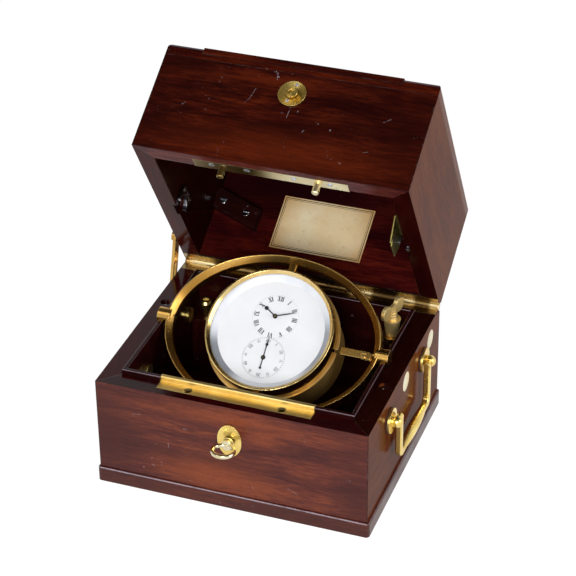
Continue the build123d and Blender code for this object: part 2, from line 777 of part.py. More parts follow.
# Bowl lock arm and its screw
arm = block(arm_inner_end, arm_pivot_x + arm_tail - arm_width / 2, arm_pivot_y - arm_width / 2,
            arm_pivot_y + arm_width / 2, arm_low, arm_low + arm_thickness)
arm += rod_z(arm_pivot_x + arm_tail - arm_width / 2, arm_pivot_y, arm_low, arm_low + arm_thickness,
             arm_width / 2)
parts["bowl_lock_arm"] = gimballed(arm - rod_z(arm_pivot_x, arm_pivot_y, -far, far,
                                               arm_screw_radius + running))
arm_head_low = arm_low + arm_thickness + free_gap
arm_screw = rod_z(arm_pivot_x, arm_pivot_y, lug_top - lug_thickness, arm_head_low, arm_screw_radius)
arm_screw += rod_z(arm_pivot_x, arm_pivot_y, arm_head_low, arm_head_low + arm_screw_head_height,
                   arm_screw_head)
arm_screw -= block(-far, far, arm_pivot_y - screw_slot / 2, arm_pivot_y + screw_slot / 2,
                   arm_head_low + screw_slot, far)
parts["gimbal_ring"] = gimballed(group([ring, arm_screw]))

# Watch bowl, bezel, dial and crystal
dial_top = dial_seat + dial_thickness
crystal_seat = dial_top + slope_height
crystal_top = crystal_seat + crystal_thickness
bezel_top = crystal_top + bezel_lip
flange_low = flange_top - flange_thickness
bowl_inner = bowl_radius - bowl_wall
bowl = turned([(0, -bowl_depth), (bowl_radius, -bowl_depth), (bowl_radius, flange_low),
               (flange_radius, flange_low), (flange_radius, flange_top), (neck_radius, flange_top),
               (neck_radius, dial_seat), (bowl_inner, dial_seat),
               (bowl_inner, -bowl_depth + bowl_wall), (0, -bowl_depth + bowl_wall)])
bowl = fillet(bowl.edges().group_by(Axis.Z)[0], bowl_round)
bowl -= block(bezel_radius, far, arm_pivot_y - flange_notch / 2, arm_pivot_y + flange_notch / 2,
              flange_low - free_gap, flange_top + over)
parts["watch_bowl"] = gimballed(bowl)
bezel_bore = neck_radius + bezel_gap
bezel = turned([(bezel_bore, bezel_bottom), (bezel_radius, bezel_bottom), (bezel_radius, bezel_top),
                (bezel_radius - bezel_land, bezel_top), (bezel_lip_radius, crystal_top + free_gap),
                (bezel_lip_radius, crystal_top), (bezel_bore, crystal_top)])
bezel = fillet(bezel.edges().group_by(Axis.Z)[-1].sort_by(SortBy.LENGTH)[-1], bezel_round)
parts["bezel"] = gimballed(bezel)
stubs = []
for sign in (1, -1):
    stub = rod_y(0, sign * (neck_radius - over), sign * (ring_half_y - ring_wall - free_gap), 0, stub_radius)
    stub -= bezel
    stub -= bowl
    stub = max(stub.solids(), key=lambda solid: abs(solid.center().Y))
    stub += rod_y(0, sign * (bezel_radius + pivot_root), sign * (ring_half_y - free_gap), 0, pivot_radius)
    stubs.append(stub)
parts["bowl_pivots"] = gimballed(group(stubs))
arbors = [rod_z(0, hour_dial_y, dial_seat - movement_plate, crystal_seat - free_gap, centre_arbor_radius),
          rod_z(0, seconds_dial_y, dial_seat - movement_plate, dial_top + 3 * free_gap, seconds_arbor_radius)]
dial = rod_z(0, 0, dial_seat, dial_top, neck_radius - dial_edge_gap)
parts["dial"] = gimballed(dial - group(arbors))
parts["dial_surround"] = gimballed(turned([(dial_visible_radius, dial_top), (neck_radius, dial_top),
                                           (neck_radius, crystal_seat), (slope_top_radius, crystal_seat)]))
parts["crystal"] = gimballed(rod_z(0, 0, crystal_seat, crystal_top, neck_radius))
movement = rod_z(0, 0, dial_seat - movement_plate, dial_seat, bowl_inner)
movement += rod_z(0, 0, dial_seat - movement_depth, dial_seat - movement_depth + movement_plate,
                  pillar_circle + 2 * pillar_radius)
for i in range(4):
    turn = math.radians(45 + 90 * i)
    movement += rod_z(pillar_circle * math.cos(turn), pillar_circle * math.sin(turn),
                      dial_seat - movement_depth, dial_seat, pillar_radius)
parts["movement"] = gimballed(group([movement - group(arbors)] + arbors))

# Hands, drawn pointing to twelve and turned clockwise from there
def flat(sketch, level):
    """A thin hand cut from sheet at a level above the dial."""
    return Pos(0, 0, level) * extrude(sketch, hand_thickness)


def hand(length, bead_at, bead_radius):
    """A hand with a round bead and a fine tip."""
    blade = make_face(Polyline((-hand_root, 0), (-hand_root, bead_at), (0, length), (hand_root, bead_at),
                               (hand_root, 0), close=True))
    sketch = Circle(hub_radius) + blade
    if bead_radius > 0:
        sketch += Pos(0, bead_at) * Circle(bead_radius)
    return sketch


seconds_level = dial_top + free_gap
hour_level = seconds_level + hand_thickness + free_gap
minute_level = hour_level + hand_thickness + free_gap
hour_hand = flat(hand(hour_hand_length, hour_bead_at, hour_bead_radius), hour_level)
minute_hand = flat(hand(minute_hand_length, minute_widest_at, 0), minute_level)
seconds_sketch = hand(seconds_hand_length, seconds_bead_at, seconds_bead_radius)
seconds_sketch += Pos(0, -seconds_tail_length / 2) * Rectangle(2 * hand_root, seconds_tail_length)
seconds_sketch += Pos(0, -seconds_tail_length) * Circle(seconds_tail_bead)
seconds_hand = flat(seconds_sketch, seconds_level)
bore = rod_z(0, 0, 0, far, centre_arbor_radius + running)
seconds_bore = rod_z(0, 0, 0, far, seconds_arbor_radius + running)
parts["hour_hand"] = gimballed(Pos(0, hour_dial_y, 0) * Rot(0, 0, -hour_hand_angle) * (hour_hand - bore))
parts["minute_hand"] = gimballed(Pos(0, hour_dial_y, 0) * Rot(0, 0, -minute_hand_angle)
                                 * (minute_hand - bore))
parts["seconds_hand"] = gimballed(Pos(0, seconds_dial_y, 0) * (seconds_hand - seconds_bore))

# Lid boards
lid_boards = mitred_boards(half_w, half_d, half_w - lid_inner_x, lid_bottom, lid_ceiling)
for side in ("right", "back", "left"):
    lid_boards[side] -= lid_leaf_pocket + hinge_groove
parts["lid_hinge_leaf"] = opened(lid_leaf)

# Lid lock plate, its screws and the two pins that enter the case lock
lid_plate_half = lock_half - lid_plate_end_gap
lid_plate = block(-lid_plate_half, lid_plate_half, -lid_plate_front, -lid_plate_back,
                  lid_bottom, lid_bottom + lid_plate_thickness)
lid_boards["front"] -= lid_plate
lid_pins = []
pin_tip = lid_bottom - pin_length
for x in (-pin_x, pin_x):
    pin = rod_z(x, pin_y, pin_tip, lid_bottom + lid_plate_thickness, pin_radius)
    lid_plate -= pin
    pin = fillet(pin.edges().group_by(Axis.Z)[0], pin_round)
    pin -= block(-far, far, pin_y - pin_slot_width / 2, pin_y + pin_slot_width / 2,
                 pin_tip + pin_slot_bottom, pin_tip + pin_slot_bottom + pin_slot_height)
    lid_pins.append(pin)
lid_screws = []
for x in (-lid_plate_screw_outer_x, -lid_plate_screw_inner_x, lid_plate_screw_inner_x,
          lid_plate_screw_outer_x):
    place = Pos(x, lid_plate_screw_y, lid_bottom) * Rot(180, 0, 0)
    lid_screws.append(place * screw())
    lid_plate -= place * screw(slotted=False)
    lid_boards["front"] -= place * screw(slotted=False)
parts["lid_lock_plate_and_pins"] = opened(group([lid_plate] + lid_pins))

# Notches over the trunnions and the hold-down forks
forks = []
fork_bottom = lining_top + notch_gap
fork_top = fork_bottom + hold_down_height
fork_screws = []
for sign, side in ((1, "right"), (-1, "left")):
    reach = trunnion_radius + hold_down_gap
    notch = rod_x(sign * (lid_inner_x - over), sign * (trunnion_end + 3 * notch_gap), gimbal_y, gimbal_z, reach)
    notch += block(min(sign * (lid_inner_x - over), sign * (trunnion_end + 3 * notch_gap)),
                   max(sign * (lid_inner_x - over), sign * (trunnion_end + 3 * notch_gap)),
                   gimbal_y - reach, gimbal_y + reach, lid_bottom - over, gimbal_z)
    lid_boards[side] -= notch
    inner_face = sign * lid_inner_x
    room_face = sign * (lid_inner_x - hold_down_thickness)
    fork = block(min(inner_face, room_face), max(inner_face, room_face), gimbal_y - hold_down_half_width,
                 gimbal_y + hold_down_half_width, fork_bottom, fork_top)
    fork -= rod_x(0, sign * far, gimbal_y, gimbal_z, reach)
    for side_step in (-1, 1):
        place = Pos(room_face, gimbal_y + side_step * hold_down_screw_side, fork_bottom
                    + hold_down_screw_rise) * Rot(0, -sign * 90, 0)
        fork_screws.append(place * screw())
        fork -= place * screw(slotted=False)
        lid_boards[side] -= place * screw(slotted=False)
    forks.append(fork)
parts["hold_down_forks"] = opened(group(forks))

# Leaf beside the right fork: a foot on the lid wall, a step over the lining and two hanging blades
leaf_outer = lining_x - hold_leaf_gap
leaf_inner = leaf_outer - hold_leaf_thickness
hold_leaf = prism_x(hold_leaf_outline, leaf_inner, leaf_outer)
hold_leaf += prism_x(hold_blade_outline, leaf_inner, leaf_outer)
shelf_rear = gimbal_y - hold_down_half_width - free_gap
hold_leaf += block(leaf_inner, lid_inner_x, hold_leaf_front, shelf_rear, hold_leaf_rise,
                   hold_leaf_rise + hold_leaf_thickness)
hold_leaf += block(lid_inner_x - hold_leaf_thickness, lid_inner_x, hold_leaf_front, shelf_rear,
                   hold_leaf_rise, hold_leaf_rise + hold_leaf_foot)
parts["hold_down_leaf"] = opened(hold_leaf)

# Stay pivot on the lid, at the same distance from the hinge as the stay stud
to_stud_y = hinge_y - stay_stud_y
to_stud_z = hinge_z - stay_stud_z
lean_y = math.cos(math.radians(stay_lean))
lean_z = math.sin(math.radians(stay_lean))
stay_reach = 2 * (to_stud_y * lean_y + to_stud_z * lean_z)
pivot_open_y = stay_stud_y + stay_reach * lean_y
pivot_open_z = stay_stud_z + stay_reach * lean_z
half_angle = math.radians(lid_open_angle)
rel_y = pivot_open_y - hinge_y
rel_z = pivot_open_z - hinge_z
pivot_shut_y = hinge_y + rel_y * math.cos(half_angle) - rel_z * math.sin(half_angle)
pivot_shut_z = hinge_z + rel_y * math.sin(half_angle) + rel_z * math.cos(half_angle)
shut_reach = math.hypot(pivot_shut_y - stay_stud_y, pivot_shut_z - stay_stud_z)
stay_pivot = rod_x(stud_outer, -lid_inner_x - stay_pivot_skin, pivot_shut_y, pivot_shut_z, stay_pivot_radius)
lid_boards["left"] -= stay_pivot
stay_pivot += rod_x(stay_x + free_gap, -half_w, pivot_shut_y, pivot_shut_z, stay_head_radius)
stay_pivot += rod_x(stud_outer - stay_head_height, stud_outer, pivot_shut_y, pivot_shut_z, stay_head_radius)
parts["stay_pivot"] = opened(stay_pivot)

# Stay strap, drawn down from its pivot and then leaned to meet the stud
slot_half = stay_stud_radius + free_gap
slot_low = -stay_reach - free_gap
slot_high = -shut_reach + free_gap
strap_half = strap_width / 2
strap_sketch = Pos(0, slot_low / 2) * Rectangle(strap_width, -slot_low)
strap_sketch += Circle(strap_half)
strap_sketch += Pos(0, slot_low) * Circle(strap_half)
slot_sketch = Pos(0, (slot_low + slot_high) / 2) * Rectangle(2 * slot_half, slot_high - slot_low)
slot_sketch += Pos(0, slot_low) * Circle(slot_half)
slot_sketch += Pos(0, slot_high) * Circle(slot_half)
strap_sketch -= slot_sketch
strap_sketch -= Circle(stay_pivot_radius + running)
strap_sketch = Pos(pivot_open_y, pivot_open_z) * Rot(0, 0, stay_lean - 90) * strap_sketch
parts["stay_strap"] = extrude(Plane.YZ.offset(stay_x - strap_thickness) * strap_sketch, strap_thickness)

# Lid top, flap and window
lid_slab = block(-half_w, half_w, -half_d, half_d, lid_ceiling, lid_upper)
lid_slab = fillet(lid_slab.edges().group_by(Axis.Z)[-1], lid_round)
flap_floor = lid_upper - flap_thickness
recess_floor = flap_floor - free_gap
axis_y = flap_back + flap_side_gap
lid_top = lid_slab - block(-flap_half_width - flap_side_gap, flap_half_width + flap_side_gap, -far, axis_y,
                           recess_floor, far)
lid_top -= block(-window_side / 2, window_side / 2, -window_side / 2, window_side / 2, 0, far)
glass_top = recess_floor - free_gap
glass_half = glass_side / 2
seat_half = glass_half + glass_gap
lid_top -= block(-seat_half, seat_half, -seat_half, seat_half, glass_top - glass_thickness, far)
parts["lid_glass"] = opened(block(-glass_half, glass_half, -glass_half, glass_half,
                                  glass_top - glass_thickness, glass_top))
flap = block(-flap_half_width, flap_half_width, -half_d, flap_back, flap_floor, lid_upper)
flap = fillet(flap.edges().group_by(Axis.Z)[-1].sort_by(Axis.Y)[0], flap_round)

# Flap hinges
board_hinges = []
flap_hinges = []
hinge_pins = []
flap_knuckle = (flap_hinge_length - 2 * free_gap) / 3
for centre in (-flap_hinge_x, flap_hinge_x):
    left = centre - flap_hinge_length / 2
    right = centre + flap_hinge_length / 2
    groove = rod_x(left - free_gap, right + free_gap, axis_y, lid_upper, flap_knuckle_radius + free_gap)
    board_leaf = block(left, right, axis_y, axis_y + flap_leaf_width, lid_upper - flap_leaf_thickness,
                       lid_upper)
    flap_leaf = block(left, right, flap_back - flap_leaf_width, flap_back, lid_upper - flap_leaf_thickness,
                      lid_upper)
    lid_top -= board_leaf + groove
    flap -= flap_leaf + groove
    middle_left = left + flap_knuckle + free_gap
    middle = rod_x(middle_left, middle_left + flap_knuckle, axis_y, lid_upper, flap_knuckle_radius)
    middle_room = rod_x(middle_left - free_gap, middle_left + flap_knuckle + free_gap, axis_y, lid_upper,
                        flap_knuckle_radius + free_gap)
    for start in (left, right - flap_knuckle):
        board_leaf += rod_x(start, start + flap_knuckle, axis_y, lid_upper, flap_knuckle_radius)
        flap_leaf -= rod_x(start - free_gap, start + flap_knuckle + free_gap, axis_y, lid_upper,
                           flap_knuckle_radius + free_gap)
    board_leaf -= middle_room
    pin = rod_x(left, right, axis_y, lid_upper, flap_pin_radius)
    flap_leaf += middle + block(middle_left, middle_left + flap_knuckle, flap_back - flap_knuckle_radius,
                                axis_y, lid_upper - flap_leaf_thickness, lid_upper)
    board_hinges.append(board_leaf - pin)
    flap_hinges.append(flap_leaf - rod_x(-far, far, axis_y, lid_upper, flap_pin_radius + running))
    hinge_pins.append(pin)
parts["flap_hinge_board_leaves"] = opened(group(board_hinges + hinge_pins))

# Catch plate under the flap
catch_tip = flap_floor - catch_length
catch = block(-catch_half_width, catch_half_width, -catch_front, -catch_front + catch_thickness,
              catch_tip, flap_floor + catch_thickness)
catch -= block(-catch_window_half, catch_window_half, -far, 0, catch_tip + catch_window_bottom,
               catch_tip + catch_window_bottom + catch_window_height)
foot = block(-catch_half_width, catch_half_width, -catch_front, -catch_front + catch_foot,
             flap_floor, flap_floor + catch_thickness)
flap -= foot
parts["flap_hinges_and_catch"] = opened(group(flap_hinges + [catch + foot]))
parts["observation_flap"] = opened(flap)

# Button with the catch nose, in its pocket in the front board
pocket = block(-pocket_half, pocket_half, -pocket_front, -pocket_back, button_z - 3 * button_stem_radius, far)
lid_boards["front"] -= pocket
lid_top -= pocket
button_back = -half_d + button_depth
counterbore_end = button_back + button_travel + free_gap
button_bore = rod_y(0, -far, counterbore_end, button_z, button_radius + free_gap)
stem_bore = rod_y(0, -far, -pocket_front + over, button_z, button_stem_radius + free_gap)
lid_boards["front"] -= button_bore + stem_bore
arm_front = -catch_front + catch_thickness + free_gap + nose_depth
nose_bottom = catch_tip + catch_window_bottom + (catch_window_height - nose_height) / 2
button = rod_y(0, -half_d - button_proud, button_back, button_z, button_radius)
button -= rod_y(0, -half_d - button_proud, -half_d - button_proud + button_dish_depth, button_z,
                button_dish_radius)
button += rod_y(0, -half_d, arm_front + catch_thickness, button_z, button_stem_radius)
button += block(-nose_half, nose_half, arm_front, arm_front + catch_thickness,
                button_z - button_stem_radius, nose_bottom + nose_height)
button += block(-nose_half, nose_half, arm_front - nose_depth, arm_front, nose_bottom,
                nose_bottom + nose_height)
parts["flap_button"] = opened(button)
button_plate = rod_y(0, -half_d - button_plate_thickness, -half_d, button_z, button_plate_radius)
button_plate -= button_bore
plate_screws = []
for x, z in (button_screw_low, button_screw_high):
    place = Pos(x, -half_d - button_plate_thickness, z) * Rot(90, 0, 0)
    plate_screws.append(place * scale(screw(), by=button_screw_scale))
    button_plate -= place * scale(screw(slotted=False), by=button_screw_scale)
    lid_boards["front"] -= place * scale(screw(slotted=False), by=button_screw_scale)
parts["button_plate"] = opened(button_plate)

# Label and wooden block on the back board inside the lid
parts["label"] = opened(block(-label_half_width, label_half_width, lid_inner_y - label_thickness,
                              lid_inner_y, label_bottom, label_top))
drop = (block_screw_b[1] - block_screw_a[1]) / (block_screw_b[0] - block_screw_a[0])


def block_middle(x):
    """Height of the block's slanted middle line."""
    return block_screw_a[1] + drop * (x - block_screw_a[0])


lid_block = prism_y([(-block_left, block_middle(-block_left) + block_half_height),
                     (-block_left, block_middle(-block_left) - block_half_height),
                     (-block_right, block_middle(-block_right) - block_half_height),
                     (-block_right, block_middle(-block_right) + block_half_height)],
                    lid_inner_y - block_thickness, lid_inner_y)
block_screws = []
for x, z in (block_screw_a, block_screw_b):
    place = Pos(x, lid_inner_y - block_thickness, z) * Rot(90, 0, 0)
    length = block_screw_length / block_screw_scale
    block_screws.append(place * scale(screw(length), by=block_screw_scale))
    lid_block -= place * scale(screw(length, slotted=False), by=block_screw_scale)
    lid_boards["back"] -= place * scale(screw(length, slotted=False), by=block_screw_scale)
parts["lid_block"] = opened(lid_block)
parts["lid_screws"] = opened(group(lid_screws + fork_screws + plate_screws + block_screws))

parts["lid_top_board"] = opened(lid_top)
for side in ("front", "right", "back", "left"):
    parts["lid_" + side + "_board"] = opened(lid_boards[side])

for name, shape in parts.items():
    export_step(shape, "parts/" + name + ".step")
print(len(parts), "nodes")
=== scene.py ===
"""Looks of the deck watch box: materials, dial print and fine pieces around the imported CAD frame."""

import math

import bpy
import bmesh
from mathutils import Matrix, Vector


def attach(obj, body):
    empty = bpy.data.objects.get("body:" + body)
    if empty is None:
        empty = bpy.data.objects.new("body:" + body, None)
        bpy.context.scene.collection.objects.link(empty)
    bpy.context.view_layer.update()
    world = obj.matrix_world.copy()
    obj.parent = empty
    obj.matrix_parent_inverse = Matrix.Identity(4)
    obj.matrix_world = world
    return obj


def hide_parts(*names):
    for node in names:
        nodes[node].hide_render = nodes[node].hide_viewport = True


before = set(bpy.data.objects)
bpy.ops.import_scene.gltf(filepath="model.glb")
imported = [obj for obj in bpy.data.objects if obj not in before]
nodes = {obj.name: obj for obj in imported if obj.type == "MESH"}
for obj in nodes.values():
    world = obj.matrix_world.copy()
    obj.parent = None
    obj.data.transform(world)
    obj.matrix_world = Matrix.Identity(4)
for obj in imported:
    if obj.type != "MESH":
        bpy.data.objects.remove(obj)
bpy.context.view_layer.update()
MM = 0.001

# Where the watch and the open lid stand, as in the CAD source
GIMBAL_AT = (0, 0.0025, 0.0807)
GIMBAL_TILT = math.radians(35)
GIMBAL = Matrix.Translation(GIMBAL_AT) @ Matrix.Rotation(GIMBAL_TILT, 4, "X")
HINGE = Vector((0, 0.076, 0.0769))
LID_ANGLE = math.radians(58.8)
LID = Matrix.Translation(HINGE) @ Matrix.Rotation(-LID_ANGLE, 4, "X") @ Matrix.Translation(-HINGE)

# The dial in millimetres from the middle of the watch
DIAL_TOP = 6.0
HOUR_Y = 10.8
SECONDS_Y = -17.8

# Noise of the wood, per metre along and across the grain
WANDER, BAND, STREAK = (11, 17), (9, 80), (60, 560)
FIBRE, PORE, CLOUD = (150, 2000), (330, 3400), (16, 26)
PATCH, SMEAR = (70, 180), (35, 60)
FLECK, FLECK_AREA = (300, 300, 300), (22, 22, 22)
WANDER_BY = 0.010

# Tints of the wood, linear. The rim tint is a painted reflection, the dark purple sheen of the rim faces, and
# the inside tint is painted shade inside the box and lid
RIM_REFLECTION_TINT = (0.11, 0.07, 0.16, 1)
INSIDE_SHADE_TINT = (0.16, 0.10, 0.14, 1)
PORE_TINT = (0.004, 0.001, 0.001, 1)
EDGE_DARK_TINT = (0.006, 0.002, 0.003, 1)
WORN_TINT = (0.16, 0.11, 0.11, 1)
SCAR_TINT = (0.30, 0.27, 0.30, 1)

# Soft edges and depths of relief in metres, and sampling of the soft edges
WOOD_EDGE, WOOD_ROUND, WOOD_RELIEF = 0.0011, 0.0007, 0.0002
METAL_EDGE, METAL_ROUND, FINE_RELIEF = 0.0005, 0.0004, 0.0001
BEVEL_SAMPLES = 6

# Noise of the metals, per metre, and the lathe rings in radians per metre
METAL_CLOUD, METAL_SPOT, HAIRLINES = 46, 300, (2600, 240, 900)
LATHE_RINGS = 20000.0
COAT_TOOTH = 3200


# Node helpers
def put(tree, socket, value):
    """Link a socket, or set a plain value."""
    if isinstance(value, bpy.types.NodeSocket):
        tree.links.new(value, socket)
    else:
        socket.default_value = value


def new(tree, kind, inputs=None, **settings):
    """A shader node with its settings and inputs, given by name or number."""
    made = tree.nodes.new("ShaderNode" + kind)
    for key, value in settings.items():
        setattr(made, key, value)
    for key, value in (inputs or {}).items():
        put(tree, made.inputs[key], value)
    return made


def math_node(tree, operation, a, b=0.0, clamp=False):
    """An arithmetic node on plain values or sockets."""
    return new(tree, "Math", {0: a, 1: b}, operation=operation, use_clamp=clamp).outputs[0]


def product(tree, *values):
    """Several values multiplied."""
    total = values[0]
    for value in values[1:]:
        total = math_node(tree, "MULTIPLY", total, value)
    return total


def mix_colour(tree, factor, a, b, blend="MIX"):
    """Colour a mixed with colour b by a factor."""
    made = new(tree, "Mix", {0: factor, 6: a, 7: b}, data_type="RGBA", blend_type=blend)
    return made.outputs[2]


def ramp(tree, value, low, high, to_low=0.0, to_high=1.0):
    """A clamped linear map."""
    made = new(tree, "MapRange", {0: value, 1: low, 2: high, 3: to_low, 4: to_high})
    return made.outputs[0]


def colour(r, g, b):
    """A colour given as 0 to 255 on screen, turned into linear values."""
    def linear(v):
        v /= 255
        return v / 12.92 if v <= 0.04045 else ((v + 0.055) / 1.055) ** 2.4
    return (linear(r), linear(g), linear(b), 1.0)


def place_node(tree, on_lid=False):
    """Coordinates in metres. On the lid they are those of the shut box."""
    where = new(tree, "TexCoord").outputs["Object"]
    if not on_lid:
        return where
    turn = Matrix.Rotation(LID_ANGLE, 3, "X")
    return new(tree, "Mapping", {"Vector": where, "Location": HINGE - turn @ HINGE,
                                 "Rotation": (LID_ANGLE, 0, 0)}).outputs[0]


def facing(tree, direction, on_lid=False, low=0.6, high=0.9):
    """One on faces that look along a direction of the shut box."""
    aim = Vector(direction)
    if on_lid:
        aim = Matrix.Rotation(-LID_ANGLE, 3, "X") @ aim
    normal = new(tree, "TexCoord").outputs["Normal"]
    along = new(tree, "VectorMath", {0: normal, 1: aim}, operation="DOT_PRODUCT").outputs["Value"]
    return ramp(tree, along, low, high)


def zone(tree, where, centre, radii, inner=0.0):
    """One in the middle of a soft ellipsoid, nothing outside it. Sizes in millimetres."""
    scale = [1000.0 / r for r in radii]
    shift = [-c / r for c, r in zip(centre, radii)]
    local = new(tree, "Mapping", {"Vector": where, "Location": shift, "Scale": scale}).outputs[0]
    far = new(tree, "VectorMath", {0: local}, operation="LENGTH").outputs["Value"]
    made = new(tree, "MapRange", {0: far, 1: 1.0, 2: inner, 3: 0.0, 4: 1.0}, interpolation_type="SMOOTHSTEP")
    return made.outputs[0]


def noise(tree, where, scale, seed=0.0, detail=3.0, rough=0.55):
    """Noise whose scale is given per metre on each axis."""
    moved = new(tree, "Mapping", {"Vector": where, "Scale": scale,
                                  "Location": (seed * 1.7, seed * 3.1, seed * 5.3)}).outputs[0]
    made = new(tree, "TexNoise", {"Vector": moved, "Scale": 1.0, "Detail": detail, "Roughness": rough})
    return made.outputs[0]


def edge_mask(tree, radius, gain):
    """One along convex and concave edges, nothing on the flats."""
    soft = new(tree, "Bevel", {"Radius": radius}, samples=BEVEL_SAMPLES).outputs[0]
    hard = new(tree, "NewGeometry").outputs["Normal"]
    same = new(tree, "VectorMath", {0: soft, 1: hard}, operation="DOT_PRODUCT").outputs["Value"]
    return math_node(tree, "MULTIPLY", math_node(tree, "SUBTRACT", 1.0, same), gain, clamp=True)


def material(name):
    """A new material with its tree and its shader."""
    made = bpy.data.materials.new(name)
    made.use_nodes = True
    return made, made.node_tree, made.node_tree.nodes["Principled BSDF"]


GRAIN_AXIS = {"X": (1, 0, 0), "Y": (0, 1, 0), "Z": (0, 0, 1)}


def wood(name, palette, seed, along="X", on_lid=False, outward=None, rim=None, spots=(), marks=(),
         glints=(), rim_reflection_tint=RIM_REFLECTION_TINT, inside_shade_tint=INSIDE_SHADE_TINT, ends=None, figure=1.0, gloss=0.2,
         specular=0.16, wear=1.0):
    """French polished mahogany: fine grain, dark mineral bands, pores, patina, wear and single scratches.

    palette is dark, middle and light. spots are soft zones of another colour and marks are single
    scratches, both in millimetres of the shut box; the spots are used for painted shade and painted light
    as well as figure. Faces that look neither outward nor along rim are inside and take the inside tint, a
    painted shade, and faces along rim take the rim tint, a painted reflection. glints are painted
    highlights: edges lightened by the way they face. ends is the tone of the faces that look sideways.
    figure, gloss and wear are the strength of the grain, the roughness and the strength of the wear.
    """
    made, tree, bsdf = material(name)
    where = place_node(tree, on_lid)
    axis = GRAIN_AXIS[along]

    def grain(scales):
        long, across = scales
        return tuple(long if a else across for a in axis)

    wander = noise(tree, where, grain(WANDER), seed + 9, 2.0)
    bend = new(tree, "VectorMath", {0: wander, 1: (0.5, 0.5, 0.5)}, operation="SUBTRACT").outputs[0]
    bend = new(tree, "VectorMath", {0: bend, "Scale": WANDER_BY}, operation="SCALE").outputs[0]
    bent = new(tree, "VectorMath", {0: where, 1: bend}, operation="ADD").outputs[0]
    band = noise(tree, bent, grain(BAND), seed, 3.0, 0.5)
    streak = noise(tree, bent, grain(STREAK), seed + 2, 3.0, 0.6)
    fibre = noise(tree, bent, grain(FIBRE), seed + 4, 2.0, 0.6)
    pore = noise(tree, bent, grain(PORE), seed + 6, 1.0, 0.4)
    cloud = noise(tree, where, grain(CLOUD), seed + 8, 3.0, 0.5)
    tone = math_node(tree, "ADD", ramp(tree, band, 0.3, 0.7, 0.5 - 0.36 * figure, 0.5 + 0.36 * figure),
                     ramp(tree, streak, 0.3, 0.7, -0.3 * figure, 0.3 * figure))
    tone = math_node(tree, "ADD", tone, ramp(tree, fibre, 0.3, 0.7, -0.16 * figure, 0.16 * figure))
    dark, mid, light = palette
    base = mix_colour(tree, ramp(tree, tone, 0.0, 0.5), dark, mid)
    base = mix_colour(tree, ramp(tree, tone, 0.5, 1.0), base, light)
    base = mix_colour(tree, ramp(tree, cloud, 0.56, 0.3, 0.0, 0.5 * figure), base, dark)
    # Spots: soft zones of another colour, used for painted shade and painted light as well as figure
    for centre, radii, tint, amount in spots:
        strength = product(tree, zone(tree, where, centre, radii), amount)
        base = mix_colour(tree, product(tree, strength, ramp(tree, tone, 0.0, 0.8, 0.7, 1.0)), base, tint)
    if ends is not None:
        sideways = math_node(tree, "MAXIMUM", facing(tree, RIGHT), facing(tree, LEFT))
        base = mix_colour(tree, sideways, base, ends)
    dim = 1.0
    if rim is not None:
        # Faces along rim are tinted toward the rim tint: a painted reflection, the dark purple sheen of the
        # rim faces
        on_rim = facing(tree, rim, on_lid)
        base = mix_colour(tree, on_rim, base, mix_colour(tree, 1.0, base, rim_reflection_tint, "MULTIPLY"))
        dim = math_node(tree, "SUBTRACT", 1.0, math_node(tree, "MULTIPLY", on_rim, 0.7))
        if outward is not None:
            # Faces that look neither outward nor along rim take the inside tint: painted shade inside the box
            # and lid
            shown = math_node(tree, "MAXIMUM", facing(tree, outward, on_lid, 0.2, 0.5), on_rim)
            base = mix_colour(tree, shown, mix_colour(tree, 1.0, base, inside_shade_tint, "MULTIPLY"), base)
            dim = product(tree, dim, ramp(tree, shown, 0.0, 1.0, 0.3, 1.0))
    open_pore = product(tree, ramp(tree, pore, 0.62, 0.74, 0.0, 0.45), dim)
    base = mix_colour(tree, open_pore, base, PORE_TINT)
    worn = edge_mask(tree, WOOD_EDGE, 2.2)
    patch = noise(tree, where, grain(PATCH), seed + 12, 3.0, 0.7)
    # Darker along edges and in creases
    base = mix_colour(tree, product(tree, worn, 0.55), base, EDGE_DARK_TINT)
    bare = product(tree, worn, ramp(tree, patch, 0.56, 0.66, 0.0, 0.6 * wear))
    base = mix_colour(tree, bare, base, WORN_TINT)
    fleck = noise(tree, where, FLECK, seed + 15, 2.0, 0.5)
    flecked = noise(tree, where, FLECK_AREA, seed + 17, 1.0)
    scar = product(tree, ramp(tree, fleck, 0.70, 0.76), ramp(tree, flecked, 0.5, 0.62), 0.5 * wear)
    for start, end, width, strength in marks:
        scar = math_node(tree, "MAXIMUM", scar, scratch(tree, where, start, end, width, strength))
    # Glints: painted highlights, edges that face a given way lightened toward the tint in patches
    for direction, tint, amount in glints:
        turned_so = facing(tree, direction, on_lid, 0.93, 0.98)
        painted_highlight = product(tree, turned_so, ramp(tree, patch, 0.36, 0.5, 0.5, 1.0))
        base = mix_colour(tree, product(tree, painted_highlight, amount), base, tint)
    scar = product(tree, scar, dim)
    base = mix_colour(tree, scar, base, SCAR_TINT)
    put(tree, bsdf.inputs["Base Color"], base)
    smear = noise(tree, where, grain(SMEAR), seed + 21, 4.0, 0.6)
    shine = math_node(tree, "ADD", ramp(tree, smear, 0.3, 0.7, gloss - 0.05, gloss + 0.06),
                      math_node(tree, "MULTIPLY", scar, 0.4))
    if rim is not None:
        shine = product(tree, shine, ramp(tree, on_rim, 0.0, 1.0, 1.0, 0.6))
    put(tree, bsdf.inputs["Roughness"], shine)
    bsdf.inputs["Specular IOR Level"].default_value = specular
    soft = new(tree, "Bevel", {"Radius": WOOD_ROUND}, samples=BEVEL_SAMPLES).outputs[0]
    sunk = math_node(tree, "MULTIPLY", ramp(tree, pore, 0.6, 0.72), 1.2)
    relief = math_node(tree, "SUBTRACT", fibre, sunk)
    relief = math_node(tree, "SUBTRACT", relief, math_node(tree, "MULTIPLY", scar, 2.0))
    bump = new(tree, "Bump", {"Strength": 0.07 * figure, "Distance": WOOD_RELIEF, "Height": relief,
                              "Normal": soft})
    put(tree, bsdf.inputs["Normal"], bump.outputs[0])
    return made


